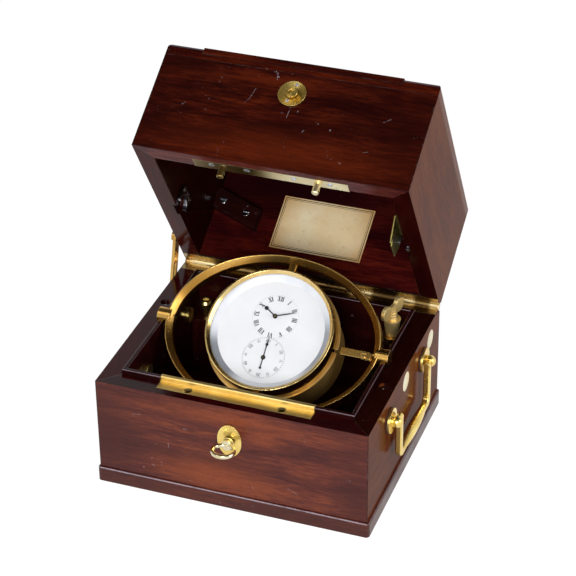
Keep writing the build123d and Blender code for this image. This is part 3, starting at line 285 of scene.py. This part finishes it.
def scratch(tree, where, start, end, width, strength):
    """A single thin scratch between two points, in millimetres of the shut box."""
    a = Vector(start) * MM
    line = (Vector(end) - Vector(start)) * MM
    offset = new(tree, "VectorMath", {0: where, 1: a}, operation="SUBTRACT").outputs[0]
    along = new(tree, "VectorMath", {0: offset, 1: line / line.length_squared},
                operation="DOT_PRODUCT").outputs["Value"]
    along = math_node(tree, "MINIMUM", math_node(tree, "MAXIMUM", along, 0.0), 1.0)
    nearest = new(tree, "VectorMath", {0: line, "Scale": along}, operation="SCALE").outputs[0]
    apart = new(tree, "VectorMath", {0: offset, 1: nearest}, operation="DISTANCE").outputs["Value"]
    rugged = noise(tree, where, (800, 800, 800), 3.0, 2.0)
    reach = product(tree, ramp(tree, rugged, 0.3, 0.7, 0.3, 1.5), width * 0.55 * MM)
    cut = ramp(tree, math_node(tree, "DIVIDE", apart, reach), 0.6, 1.1, 1.0, 0.0)
    return product(tree, cut, strength * 0.6)


def metal(name, bright, dull, stain, rough=(0.18, 0.34), seed=0.0, stained=0.4, edge=None, spots=(),
          scale=1.0, turned=None, metallic=1.0):
    """Old lacquered or polished metal: tarnish clouds, few spots, fine hairlines and brighter edges.

    turned is the centre of the lathe rings of a turned face, in millimetres of the shut box. spots are
    soft zones of another colour, in millimetres of the part as it stands at rest. The brighter edges are
    worn metal and a painted edge highlight.
    """
    made, tree, bsdf = material(name)
    where = new(tree, "TexCoord").outputs["Object"]
    cloud = noise(tree, where, (METAL_CLOUD * scale,) * 3, seed, 3.0, 0.5)
    spot = noise(tree, where, (METAL_SPOT * scale,) * 3, seed + 3, 2.0, 0.5)
    hair = noise(tree, where, HAIRLINES, seed + 5, 2.0, 0.6)
    base = mix_colour(tree, ramp(tree, cloud, 0.36, 0.66), bright, dull)
    base = mix_colour(tree, ramp(tree, hair, 0.35, 0.65, 0.0, 0.12), base, dull)
    spotted = product(tree, ramp(tree, spot, 0.6, 0.74), ramp(tree, cloud, 0.4, 0.62, 0.1, 1.0))
    base = mix_colour(tree, product(tree, spotted, stained), base, stain)
    for centre, radii, tint, amount in spots:
        base = mix_colour(tree, product(tree, zone(tree, where, centre, radii, 0.5), amount), base, tint)
    # Edges lightened toward the edge colour: worn metal and a painted edge highlight
    worn = edge_mask(tree, METAL_EDGE, 2.5)
    base = mix_colour(tree, math_node(tree, "MULTIPLY", worn, 0.5), base, edge or bright)
    put(tree, bsdf.inputs["Base Color"], base)
    bsdf.inputs["Metallic"].default_value = metallic
    shine = math_node(tree, "ADD", ramp(tree, cloud, 0.3, 0.7, rough[0], rough[1]),
                      math_node(tree, "MULTIPLY", spotted, 0.12))
    put(tree, bsdf.inputs["Roughness"], shine)
    soft = new(tree, "Bevel", {"Radius": METAL_ROUND}, samples=BEVEL_SAMPLES).outputs[0]
    height, strength = hair, 0.015
    if turned is not None:
        inputs = {0: place_node(tree, True), 1: Vector(turned) * MM}
        radial = new(tree, "VectorMath", inputs, operation="SUBTRACT").outputs[0]
        flat = new(tree, "VectorMath", {0: radial, 1: (1, 0, 1)}, operation="MULTIPLY").outputs[0]
        far = new(tree, "VectorMath", {0: flat}, operation="LENGTH").outputs["Value"]
        height = math_node(tree, "SINE", math_node(tree, "MULTIPLY", far, LATHE_RINGS))
        strength = 0.35
    bump = new(tree, "Bump", {"Strength": strength, "Distance": FINE_RELIEF, "Height": height,
                              "Normal": soft})
    put(tree, bsdf.inputs["Normal"], bump.outputs[0])
    return made


def paint(name, base_a, base_b, rough, scale=160.0, specular=0.3, seed=0.0, bump_by=0.05, spots=()):
    """A matte or satin coat with slight clouds and a fine tooth. spots are in millimetres of the watch."""
    made, tree, bsdf = material(name)
    where = new(tree, "TexCoord").outputs["Object"]
    cloud = noise(tree, where, (scale,) * 3, seed, 4.0, 0.6)
    tooth = noise(tree, where, (COAT_TOOTH,) * 3, seed + 1, 2.0, 0.5)
    base = mix_colour(tree, ramp(tree, cloud, 0.3, 0.7), base_a, base_b)
    for centre, radii, tint, amount in spots:
        middle = GIMBAL @ (Vector(centre) * MM) / MM
        base = mix_colour(tree, product(tree, zone(tree, where, middle, radii, 0.4), amount), base, tint)
    put(tree, bsdf.inputs["Base Color"], base)
    put(tree, bsdf.inputs["Roughness"], ramp(tree, cloud, 0.3, 0.7, rough - 0.06, rough + 0.06))
    bsdf.inputs["Specular IOR Level"].default_value = specular
    bump = new(tree, "Bump", {"Strength": bump_by, "Distance": FINE_RELIEF, "Height": tooth})
    put(tree, bsdf.inputs["Normal"], bump.outputs[0])
    return made


def glass(name):
    """Thin clear glass: its face shows as much as it mirrors."""
    made, tree, bsdf = material(name)
    where = new(tree, "TexCoord").outputs["Object"]
    dust = noise(tree, where, (900,) * 3, 2.0, 3.0, 0.6)
    slant = new(tree, "LayerWeight", {"Blend": 0.5}).outputs["Facing"]
    mirror = ramp(tree, math_node(tree, "POWER", slant, 5.0), 0.0, 1.0, 0.02, 1.0)
    veil = math_node(tree, "ADD", mirror, ramp(tree, dust, 0.62, 0.78, 0.0, 0.02), clamp=True)
    put(tree, bsdf.inputs["Alpha"], veil)
    bsdf.inputs["Base Color"].default_value = (0.95, 0.97, 0.98, 1)
    bsdf.inputs["Metallic"].default_value = 1.0
    put(tree, bsdf.inputs["Roughness"], ramp(tree, dust, 0.3, 0.8, 0.01, 0.05))
    return made


def paper(name):
    """Old label paper: foxed, browner at its edges, with a soft sheen."""
    made, tree, bsdf = material(name)
    where = place_node(tree, True)
    cloud = noise(tree, where, (40, 40, 40), 3.0, 4.0, 0.6)
    fox = noise(tree, where, (260, 260, 260), 5.0, 3.0, 0.6)
    fibre = noise(tree, where, (2400, 2400, 900), 7.0, 2.0, 0.6)
    base = mix_colour(tree, ramp(tree, cloud, 0.35, 0.65), colour(255, 238, 200), colour(244, 216, 164))
    base = mix_colour(tree, zone(tree, where, (0, 63, 112), (46, 20, 34), 0.35), colour(206, 160, 96), base)
    base = mix_colour(tree, ramp(tree, fox, 0.6, 0.74, 0.0, 0.4), base, colour(170, 126, 76))
    base = mix_colour(tree, ramp(tree, fibre, 0.4, 0.7, 0.0, 0.14), base, colour(196, 160, 106))
    put(tree, bsdf.inputs["Base Color"], base)
    put(tree, bsdf.inputs["Roughness"], ramp(tree, cloud, 0.3, 0.7, 0.42, 0.6))
    bsdf.inputs["Specular IOR Level"].default_value = 0.3
    bump = new(tree, "Bump", {"Strength": 0.2, "Distance": WOOD_RELIEF, "Height": fibre})
    put(tree, bsdf.inputs["Normal"], bump.outputs[0])
    return made


# Materials
# Pale colour of the painted highlights along rounded edges
LILAC_HIGHLIGHT = colour(176, 164, 176)
UP, DOWN = (0, 0, 1), (0, 0, -1)
FRONT, BACK, LEFT, RIGHT = (0, -1, 0), (0, 1, 0), (-1, 0, 0), (1, 0, 0)
front_tone = (colour(58, 15, 11), colour(82, 31, 21), colour(110, 50, 27))
side_tone = (colour(68, 28, 13), colour(92, 43, 18), colour(110, 56, 23))
lid_tone = (colour(28, 4, 3), colour(50, 11, 5), colour(76, 24, 8))
plinth_tone = (colour(48, 17, 14), colour(70, 28, 21), colour(92, 42, 28))
purple = colour(52, 11, 10)
ember = colour(126, 58, 24)
wine = colour(34, 5, 3)
# Zones on the case front: the purple towards both ends is painted shade and the broad orange zone low in the
# middle is painted light; the narrower orange bands above it follow the figure
case_spots = (((-88, -80, 35), (44, 60, 60), purple, 0.85), ((88, -80, 30), (34, 60, 60), purple, 0.5),
              ((-12, -80, 22), (62, 60, 22), ember, 0.7), ((-10, -80, 68), (80, 60, 12), ember, 0.45),
              ((22, -80, 58), (18, 60, 9), ember, 0.6))
case_marks = (((-42, -76, 40), (-41.6, -76, 36), 0.4, 0.7), ((38, -76, 24), (44, -76, 21), 0.45, 0.5),
              ((-66, -76, 57), (-60, -76, 57.6), 0.5, 0.35), ((14, -76, 20), (15, -76, 18), 0.4, 0.5))
# Zones on the lid front: the dark upper left corner, right end and top band are painted shade and the lighter
# red band low down is a painted highlight; the two thin dark streaks follow the figure
lid_spots = (((-80, -76, 150), (60, 40, 26), wine, 0.85), ((80, -76, 120), (34, 40, 60), wine, 0.6),
             ((0, -76, 88), (120, 40, 24), colour(88, 30, 9), 0.6), ((0, -76, 152), (120, 40, 9), wine, 0.7),
             ((30, -76, 112), (60, 40, 5), wine, 0.7), ((-30, -76, 133), (50, 40, 5), wine, 0.5))
lid_marks = (((-24, -76, 131), (-26, -76, 123), 0.35, 0.6), ((-26, -76, 123), (-28.5, -76, 119), 0.3, 0.35),
             ((1.5, -76, 119), (1.2, -76, 113), 0.4, 0.7), ((-46, -76, 147), (-35, -76, 148), 0.3, 0.45),
             ((-22, -76, 146.5), (-17, -76, 147), 0.35, 0.5), ((9, -76, 146), (16, -76, 149), 0.35, 0.4),
             ((62, -76, 121), (66, -76, 124), 0.6, 0.3), ((55, -76, 98), (58, -76, 99), 0.4, 0.4))
wood_by_node = {
    "case_front_board": wood("mahogany_case_front", front_tone, 1.3, "X", False, FRONT, UP, case_spots,
                             case_marks, specular=0.24, figure=1.2, rim_reflection_tint=(0.26, 0.07, 0.2, 1)),
    "case_right_board": wood("mahogany_case_right", side_tone, 2.7, "Y", False, RIGHT, UP, figure=0.8,
                             gloss=0.12, specular=0.008, wear=0.6),
    "case_left_board": wood("mahogany_case_left", side_tone, 4.1, "Y", False, LEFT, UP, gloss=0.14,
                            figure=0.7, wear=0.6, rim_reflection_tint=(0.32, 0.07, 0.4, 1)),
    "case_back_board": wood("mahogany_case_back", front_tone, 5.9, "X", False, BACK, UP),
    "lid_front_board": wood("mahogany_lid_front", lid_tone, 7.7, "X", True, FRONT, DOWN, lid_spots, lid_marks,
                            (((0, -0.7, -0.7), LILAC_HIGHLIGHT, 0.35),), specular=0.07, figure=1.3,
                            rim_reflection_tint=(1.5, 2.4, 6.0, 1)),
    "lid_right_board": wood("mahogany_lid_right", side_tone, 8.5, "Y", True, RIGHT, DOWN, figure=0.7,
                            gloss=0.16, specular=0.008, wear=0.4, rim_reflection_tint=(0.16, 0.07, 0.2, 1)),
    "lid_left_board": wood("mahogany_lid_left", side_tone, 9.4, "Y", True, LEFT, DOWN, figure=0.8, gloss=0.2,
                           specular=0.06, wear=0.4, rim_reflection_tint=(0.36, 0.18, 0.6, 1)),
    # Inside the lid: a lighter inside tint than elsewhere, with its upper part painted near black as shade
    "lid_back_board": wood("mahogany_lid_back", lid_tone, 11.2, "X", True, BACK, DOWN,
                           inside_shade_tint=(1.5, 1.2, 2.4, 1), figure=1.3, specular=0.07,
                           spots=(((-20, 64, 140), (150, 12, 46), colour(16, 3, 3), 0.95),)),
    "lid_top_board": wood("mahogany_lid_top", lid_tone, 12.6, "X", True, specular=0.03, ends=side_tone[1],
                          glints=(((0, -0.8, 0.6), LILAC_HIGHLIGHT, 0.16),)),
    "observation_flap": wood("mahogany_flap", lid_tone, 14.2, "X", True, specular=0.05,
                             glints=(((0, -0.7, 0.7), LILAC_HIGHLIGHT, 0.12),)),
    "lid_block": wood("mahogany_block", (colour(22, 5, 5), colour(32, 8, 7), colour(42, 12, 8)), 15.1, "X",
                      True, gloss=0.3),
    "plinth_mouldings": wood("mahogany_plinth", plinth_tone, 16.3, figure=0.8, specular=0.24, gloss=0.3,
                             glints=(((0, -0.7, 0.7), LILAC_HIGHLIGHT, 0.6), ((0.7, 0, 0.7), LILAC_HIGHLIGHT, 0.2))),
    "case_base_board": wood("mahogany_base", lid_tone, 17.2, gloss=0.45),
    "rim_linings": wood("mahogany_linings", (colour(26, 5, 5), colour(36, 7, 7), colour(48, 11, 8)), 18.4,
                        gloss=0.12, wear=0.5,
                        glints=(((0, -0.7, 0.7), LILAC_HIGHLIGHT, 0.35), ((0.7, 0, 0.7), LILAC_HIGHLIGHT, 0.12),
                                ((-0.7, 0, 0.7), LILAC_HIGHLIGHT, 0.12))),
    "corner_post": wood("mahogany_post", (colour(26, 5, 5), colour(40, 9, 7), colour(54, 14, 9)), 19.5, "Z"),
}
brass = metal("brass_lacquered", colour(206, 168, 96), colour(168, 126, 58), colour(92, 64, 32),
              rough=(0.2, 0.3), seed=1.0, stained=0.14, edge=colour(250, 230, 172), scale=0.7)
brass_bowl = metal("brass_bowl", colour(212, 174, 104), colour(176, 136, 70), colour(92, 64, 32),
                   rough=(0.3, 0.42), seed=2.0, stained=0.2, edge=colour(244, 222, 160), metallic=0.7)
brass_satin = metal("brass_satin", colour(246, 222, 156), colour(228, 198, 122), colour(130, 96, 46),
                    rough=(0.34, 0.44), seed=4.0, stained=0.25, edge=colour(250, 234, 170))
brass_bright = metal("brass_polished", colour(242, 216, 134), colour(220, 188, 102), colour(116, 82, 38),
                     rough=(0.22, 0.34), seed=5.0, stained=0.2, edge=colour(252, 238, 180))
brass_turned = metal("brass_turned", colour(228, 200, 116), colour(190, 156, 72), colour(110, 80, 38),
                     rough=(0.2, 0.3), seed=6.0, stained=0.2, edge=colour(250, 234, 170),
                     turned=(0, -76, 130.5))
# The pale zones along the hinge barrel are painted highlights
brass_dark = metal("brass_tarnished", colour(146, 120, 74), colour(92, 70, 40), colour(44, 30, 18),
                   rough=(0.18, 0.3), seed=7.0, stained=0.3, edge=colour(214, 186, 124),
                   spots=tuple(((x, 76, 77), (r, 30, 30), colour(244, 222, 170), 0.7)
                               for x, r in ((-78, 13), (36, 10), (67, 8), (88, 6))))
brass_plate = metal("brass_lid_plate", colour(236, 224, 182), colour(220, 204, 158), colour(130, 108, 70),
                    rough=(0.26, 0.36), seed=9.0, stained=0.2, edge=colour(246, 238, 206),
                    spots=(((-30, 0, 200), (37, 900, 900), colour(104, 84, 34), 0.95),))
brass_pale = metal("brass_pale", colour(230, 222, 188), colour(200, 186, 142), colour(120, 100, 64),
                   rough=(0.14, 0.26), seed=9.0, stained=0.2, edge=colour(246, 240, 214))
bezel_gold = metal("brass_bezel", colour(224, 198, 138), colour(198, 162, 92), colour(140, 104, 56),
                   rough=(0.14, 0.22), seed=11.0, stained=0.15, edge=colour(252, 244, 214))
key_gold = metal("brass_winding_key", colour(244, 218, 150), colour(220, 186, 116), colour(124, 88, 44),
                 rough=(0.34, 0.46), seed=12.0, stained=0.2, edge=colour(255, 236, 190), metallic=0.75)
# The hold-down leaf is brass given a dull olive colour: painted shade
olive = metal("brass_olive", colour(130, 120, 66), colour(100, 90, 48), colour(50, 42, 24),
              rough=(0.3, 0.44), seed=13.0, stained=0.4)
steel = metal("steel_worn", colour(150, 150, 156), colour(104, 104, 112), colour(54, 46, 44),
              rough=(0.16, 0.3), seed=14.0, stained=0.4)
steel_bright = metal("steel_screws", colour(222, 224, 232), colour(180, 184, 194), colour(70, 62, 60),
                     rough=(0.12, 0.24), seed=15.0, stained=0.3)
# The grey zones on the silvered slope are painted reflection of the dark box around the dial
silver = paint("silvered_ring", colour(226, 228, 234), colour(214, 217, 224), 0.32, 90.0, 0.5, 17.0, 0.03,
               (((-29, -25, 8), (24, 24, 24), colour(104, 108, 116), 0.85),
                ((37, -6, 8), (26, 26, 26), colour(128, 131, 140), 0.8)))
dial_white = paint("dial_silvered", colour(236, 237, 240), colour(229, 230, 234), 0.55, 60.0, 0.3, 2.0)
black = paint("black_enamel", colour(16, 15, 18), colour(24, 22, 26), 0.3, 300.0, 0.4, 5.0)
leather = paint("washer_leather", colour(34, 28, 24), colour(52, 42, 34), 0.6, 500.0, 0.2, 8.0, 0.3)
clear = glass("clear_glass")
label_paper = paper("label_paper")

metal_by_node = {
    brass: ("gimbal_ring", "gimbal_trunnions", "bowl_pivots", "bowl_lock_arm", "movement",
            "winding_key_bracket", "flap_hinge_board_leaves", "flap_hinges_and_catch", "stay_strap",
            "stay_pivot"),
    brass_bowl: ("watch_bowl",),
    bezel_gold: ("bezel",),
    brass_satin: ("lock_strip",),
    brass_bright: ("escutcheon", "handle_posts_and_nuts", "handle_flanges", "handle_left", "handle_right",
                   "corner_knob"),
    brass_turned: ("flap_button", "button_plate"),
    brass_dark: ("case_hinge_leaf", "lid_hinge_leaf", "lock_case", "lock_cover", "gimbal_saddles",
                 "hinge_pin"),
    brass_plate: ("lid_lock_plate_and_pins",),
    brass_pale: ("lock_key", "side_plugs_and_stay_stud"),
    key_gold: ("winding_key",),
    olive: ("hold_down_leaf",),
    steel: ("lock_bolt", "hold_down_forks"),
    steel_bright: ("rim_screws", "lid_screws"),
    silver: ("dial_surround",),
    dial_white: ("dial",),
    black: ("hour_hand", "minute_hand", "seconds_hand"),
    leather: ("handle_washers",),
    clear: ("crystal", "lid_glass"),
    label_paper: ("label",),
}
coats = dict(wood_by_node)
for coat, names in metal_by_node.items():
    for node_name in names:
        coats[node_name] = coat
for node_name, thing in nodes.items():
    thing.data.materials.clear()
    thing.data.materials.append(coats[node_name])


# Mesh helpers
def piece(name, mesh_data, coat, body, replaced=()):
    """A finished object on its body, with its material and slot."""
    made = bpy.data.objects.new(name, mesh_data)
    bpy.context.scene.collection.objects.link(made)
    mesh_data.materials.clear()
    mesh_data.materials.append(coat)
    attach(made, body)
    if replaced:
        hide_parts(*replaced)
    return made


def slab(bm, points, low, high, matrix):
    """A thin flat piece from an outline in millimetres."""
    bottom = [bm.verts.new(matrix @ Vector((x * MM, y * MM, low * MM))) for x, y in points]
    top = [bm.verts.new(matrix @ Vector((x * MM, y * MM, high * MM))) for x, y in points]
    bm.faces.new(list(reversed(bottom)))
    bm.faces.new(top)
    count = len(points)
    for i in range(count):
        j = (i + 1) % count
        bm.faces.new((bottom[i], bottom[j], top[j], top[i]))


def finished(bm, name):
    """The mesh of a bmesh, with its faces turned outward."""
    bmesh.ops.recalc_face_normals(bm, faces=bm.faces)
    made = bpy.data.meshes.new(name)
    bm.to_mesh(made)
    bm.free()
    return made


# Silvered slope between the dial and the crystal
SLOPE_LOW, SLOPE_HIGH = DIAL_TOP + 0.02, 8.3
SLOPE_OUTER = 40.2
SLOPE = ((35.1, SLOPE_LOW), (35.4, SLOPE_LOW + 0.25), (38.7, SLOPE_HIGH - 0.35), (39.1, SLOPE_HIGH - 0.05),
         (SLOPE_OUTER, SLOPE_HIGH - 0.05), (SLOPE_OUTER, SLOPE_LOW))


def lathe(name, profile, matrix, count=160):
    """A closed ring turned about the watch axis from (radius, height) points in millimetres."""
    bm = bmesh.new()
    turns = []
    for k in range(count):
        angle = 2 * math.pi * k / count
        turns.append([bm.verts.new(matrix @ (Vector((r * math.cos(angle), r * math.sin(angle), h)) * MM))
                      for r, h in profile])
    for k in range(count):
        here, there = turns[k], turns[(k + 1) % count]
        for i in range(len(profile)):
            j = (i + 1) % len(profile)
            bm.faces.new((here[i], there[i], there[j], here[j])).smooth = True
    made = finished(bm, name)
    made.set_sharp_from_angle(angle=math.radians(50))
    return made


piece("surround_slope", lathe("surround_slope", SLOPE, GIMBAL), silver, "bowl",
      ("dial_surround",))

# Dial print
INK_LOW = DIAL_TOP + 0.005
INK_HIGH = DIAL_TOP + 0.03
NUMERAL_HEIGHT, NUMERAL_RADIUS = 3.0, 12.8
MINUTE_RADIUS, MINUTE_LONG, MINUTE_SHORT, MINUTE_WIDTH = 15.2, 0.8, 0.35, 0.2
SECOND_RADIUS, SECOND_LONG, SECOND_SHORT, SECOND_WIDTH = 14.2, 1.3, 0.8, 0.27
NUMBER_RADIUS, NUMBER_LARGE, NUMBER_SMALL = 11.7, 3.0, 2.2


def bar(bm, a, b, width, where):
    """A straight stroke between two points."""
    d = Vector((b[0] - a[0], b[1] - a[1])).normalized()
    n = Vector((-d.y, d.x)) * width / 2
    outline = [(a[0] + n.x, a[1] + n.y), (a[0] - n.x, a[1] - n.y), (b[0] - n.x, b[1] - n.y),
               (b[0] + n.x, b[1] + n.y)]
    slab(bm, outline, INK_LOW, INK_HIGH, where)


ROMAN = ("XII", "I", "II", "III", "IIII", "V", "VI", "VII", "VIII", "IX", "X", "XI")
GLYPH_WIDTH = {"I": 0.34, "V": 0.74, "X": 0.78}


def roman(bm, text, height, where):
    """A Roman numeral of thick and thin strokes with serifs."""
    squeeze = 0.8 if len(text) > 3 else 1.0
    thick, thin = 0.2 * height * squeeze, 0.075 * height
    gap = 0.02 * height
    total = sum(GLYPH_WIDTH[g] for g in text) * height * squeeze
    x = -total / 2
    top, low = height / 2, -height / 2
    for g in text:
        wide = GLYPH_WIDTH[g] * height * squeeze
        mid = x + wide / 2
        arm = wide * 0.32
        if g == "I":
            bar(bm, (mid, low), (mid, top), thick, where)
        elif g == "V":
            bar(bm, (mid - arm, top), (mid, low), thick, where)
            bar(bm, (mid + arm, top), (mid, low), thin, where)
        else:
            bar(bm, (mid - arm, top), (mid + arm, low), thick, where)
            bar(bm, (mid + arm, top), (mid - arm, low), thin, where)
        bar(bm, (x + gap, top), (x + wide - gap, top), thin, where)
        if g != "V":
            bar(bm, (x + gap, low), (x + wide - gap, low), thin, where)
        x += wide


def on_dial(centre_y, angle, radius):
    """The frame of a mark at a clock angle in degrees, its top away from the centre."""
    turn = Matrix.Rotation(math.radians(-angle), 4, "Z")
    return GIMBAL @ Matrix.Translation((0, centre_y * MM, 0)) @ turn @ Matrix.Translation((0, radius * MM, 0))


marks = bmesh.new()
for hour, text in enumerate(ROMAN):
    roman(marks, text, NUMERAL_HEIGHT, on_dial(HOUR_Y, 30 * hour, NUMERAL_RADIUS))
for minute in range(60):
    long = MINUTE_LONG if minute % 5 == 0 else MINUTE_SHORT
    bar(marks, (0, -long / 2), (0, long / 2), MINUTE_WIDTH, on_dial(HOUR_Y, 6 * minute, MINUTE_RADIUS))
for second in range(60):
    long = SECOND_LONG if second % 5 == 0 else SECOND_SHORT
    bar(marks, (0, -long), (0, 0), SECOND_WIDTH, on_dial(SECONDS_Y, 6 * second, SECOND_RADIUS))
piece("dial_hour_marks", finished(marks, "dial_hour_marks"), black, "bowl")


def number(text, size, where):
    """A printed number as a mesh, in millimetres about its middle."""
    curve = bpy.data.curves.new("number_" + text, "FONT")
    curve.body = text
    curve.size = size * MM
    curve.align_x = "CENTER"
    curve.align_y = "CENTER"
    curve.extrude = (INK_HIGH - INK_LOW) / 2 * MM
    holder = bpy.data.objects.new("number", curve)
    bpy.context.scene.collection.objects.link(holder)
    bpy.context.view_layer.update()
    made = bpy.data.meshes.new_from_object(holder.evaluated_get(bpy.context.evaluated_depsgraph_get()))
    made.transform(where @ Matrix.Translation((0, 0, (INK_LOW + INK_HIGH) / 2 * MM)))
    bpy.data.objects.remove(holder)
    return made


numbers = bmesh.new()
for mark in range(12):
    text = str(5 * mark or 60)
    size = NUMBER_LARGE if mark % 2 == 0 else NUMBER_SMALL
    numbers.from_mesh(number(text, size, on_dial(SECONDS_Y, 30 * mark, NUMBER_RADIUS)))
piece("dial_second_numbers", finished(numbers, "dial_second_numbers"), black, "bowl")

# Label: a slightly lifted sheet with a double border
LABEL_X = 32.0
LABEL_LOW, LABEL_HIGH = 92.0, 132.0
LABEL_MIDDLE, LABEL_HALF = (LABEL_LOW + LABEL_HIGH) / 2, (LABEL_HIGH - LABEL_LOW) / 2
WALL_Y = 63.7
PAPER_LIFT, RIPPLE, SIDE_CURL, END_CURL = 0.16, 0.10, 0.10, 0.05
BORDER_LIFT = 0.03
BORDER_LINES = ((0.9, 0.5), (2.1, 0.22))


def label_height(x, z):
    """How far the paper stands off its board, in millimetres."""
    u = x / LABEL_X
    v = (z - LABEL_MIDDLE) / LABEL_HALF
    ripple = RIPPLE * math.sin(3.1 * u + 1.0) * math.cos(2.3 * v)
    return PAPER_LIFT + ripple + SIDE_CURL * abs(u) ** 6 + END_CURL * abs(v) ** 6


def sheet_mesh(name, x0, x1, z0, z1, lift, nx=40, nz=26):
    """A thin closed sheet that follows the paper."""
    bm = bmesh.new()
    grid = {}
    for side in (0, 1):
        for i in range(nx + 1):
            for k in range(nz + 1):
                x = x0 + (x1 - x0) * i / nx
                z = z0 + (z1 - z0) * k / nz
                y = WALL_Y - (label_height(x, z) + lift if side else max(0.0, lift - 0.02))
                grid[side, i, k] = bm.verts.new(LID @ Vector((x * MM, y * MM, z * MM)))
        for i in range(nx):
            for k in range(nz):
                quad = [grid[side, i, k], grid[side, i + 1, k], grid[side, i + 1, k + 1],
                        grid[side, i, k + 1]]
                bm.faces.new(quad if side else quad[::-1])
    rim = [(i, 0) for i in range(nx)] + [(nx, k) for k in range(nz)]
    rim += [(i, nz) for i in range(nx, 0, -1)] + [(0, k) for k in range(nz, 0, -1)]
    for (i, k), (m, n) in zip(rim, rim[1:] + rim[:1]):
        bm.faces.new((grid[1, i, k], grid[0, i, k], grid[0, m, n], grid[1, m, n]))
    return finished(bm, name)


piece("label_sheet", sheet_mesh("label_sheet", -LABEL_X, LABEL_X, LABEL_LOW, LABEL_HIGH, 0.0), label_paper,
      "lid", ("label",))
border = bmesh.new()
for inset, width in BORDER_LINES:
    x1, z0, z1 = LABEL_X - inset, LABEL_LOW + inset, LABEL_HIGH - inset
    for strip in ((-x1, x1, z0, z0 + width), (-x1, x1, z1 - width, z1), (-x1, -x1 + width, z0, z1),
                  (x1 - width, x1, z0, z1)):
        across = strip[1] - strip[0] > strip[3] - strip[2]
        counts = (40, 1) if across else (1, 26)
        border.from_mesh(sheet_mesh("strip", *strip, BORDER_LIFT, *counts))
piece("label_border", finished(border, "label_border"), black, "lid")

# Stage: white floor and world, soft lamps
FLOOR_HALF = 4.0
FLOOR_WHITE, FLOOR_FAINT, FLOOR_GLOW = 0.86, 0.22, 0.89
AMBIENT, CEILING = 0.36, 0.08
CEILING_FROM, CEILING_TO = 0.45, 0.8
floor_mesh = bpy.data.meshes.new("floor")
bm = bmesh.new()
bmesh.ops.create_grid(bm, x_segments=1, y_segments=1, size=FLOOR_HALF)
bm.to_mesh(floor_mesh)
bm.free()
floor = bpy.data.objects.new("floor", floor_mesh)
bpy.context.scene.collection.objects.link(floor)
floor_coat = bpy.data.materials.new("floor")
floor_coat.use_nodes = True
tree = floor_coat.node_tree
tree.nodes.clear()
path = new(tree, "LightPath").outputs
seen = math_node(tree, "MAXIMUM", path["Is Camera Ray"], path["Is Glossy Ray"])
seen = math_node(tree, "MAXIMUM", seen, path["Is Transmission Ray"])
plain = new(tree, "BsdfDiffuse", {"Color": (FLOOR_WHITE,) * 3 + (1,)}).outputs[0]
faint = new(tree, "BsdfDiffuse", {"Color": (FLOOR_FAINT,) * 3 + (1,)}).outputs[0]
shown = new(tree, "Emission", {"Color": (1, 1, 1, 1), "Strength": FLOOR_GLOW}).outputs[0]
shown = new(tree, "AddShader", {0: shown, 1: faint}).outputs[0]
blended = new(tree, "MixShader", {0: seen, 1: plain, 2: shown}).outputs[0]
put(tree, new(tree, "OutputMaterial").inputs[0], blended)
floor_mesh.materials.append(floor_coat)

world = bpy.data.worlds.new("studio")
bpy.context.scene.world = world
world.use_nodes = True
tree = world.node_tree
tree.nodes.clear()
path = new(tree, "LightPath").outputs
seen = math_node(tree, "MAXIMUM", path["Is Camera Ray"], path["Is Transmission Ray"])
height = new(tree, "SeparateXYZ", {0: new(tree, "TexCoord").outputs["Generated"]}).outputs["Z"]
mirrored = ramp(tree, height, CEILING_FROM, CEILING_TO, 1.0, CEILING)
strength = ramp(tree, path["Is Glossy Ray"], 0.0, 1.0, AMBIENT, mirrored)
strength = math_node(tree, "MAXIMUM", strength, seen)
sky = new(tree, "Background", {"Color": (1, 1, 1, 1), "Strength": strength}).outputs[0]
put(tree, new(tree, "OutputWorld").inputs[0], sky)


def lamp(name, where, target, size, power):
    """A soft square lamp that looks at a point."""
    data = bpy.data.lights.new(name, "AREA")
    data.shape = "SQUARE"
    data.size = size
    data.energy = power
    holder = bpy.data.objects.new(name, data)
    bpy.context.scene.collection.objects.link(holder)
    holder.location = where
    aim = Vector(target) - Vector(where)
    holder.rotation_mode = "QUATERNION"
    holder.rotation_quaternion = aim.to_track_quat("-Z", "Y")


MIDDLE = (0.0, 0.02, 0.1)
LAMPS = (("key", (-0.55, -0.75, 1.25), 0.6, 3.0), ("side", (1.3, -0.15, 0.75), 0.7, 8.0),
         ("front", (0.35, -1.6, 0.75), 0.7, 24.0))
for name, where, size, power in LAMPS:
    lamp(name, where, MIDDLE, size, power)

# Camera, solved from the photograph
AZIMUTH, ELEVATION, ROLL = (math.radians(v) for v in (20.112, 32.445, -0.590))
TARGET = Vector((0.01024, 0.00376, 0.11848))
DISTANCE = 1.37366
LENS, SENSOR = 135.88, 36.0
CLIP_NEAR, CLIP_FAR = 0.05, 20.0
back = Vector((math.sin(AZIMUTH) * math.cos(ELEVATION), -math.cos(AZIMUTH) * math.cos(ELEVATION),
               math.sin(ELEVATION)))
right = Vector((math.cos(AZIMUTH), math.sin(AZIMUTH), 0))
up = back.cross(right)
right_rolled = right * math.cos(ROLL) + up * math.sin(ROLL)
up_rolled = up * math.cos(ROLL) - right * math.sin(ROLL)
camera_data = bpy.data.cameras.new("camera")
camera_data.lens = LENS
camera_data.sensor_width = SENSOR
camera_data.clip_start = CLIP_NEAR
camera_data.clip_end = CLIP_FAR
camera = bpy.data.objects.new("camera", camera_data)
bpy.context.scene.collection.objects.link(camera)
turned = Matrix((right_rolled, up_rolled, back)).transposed().to_4x4()
camera.matrix_world = Matrix.Translation(TARGET + back * DISTANCE) @ turned
bpy.context.scene.camera = camera
bpy.context.scene.view_settings.view_transform = "Standard"
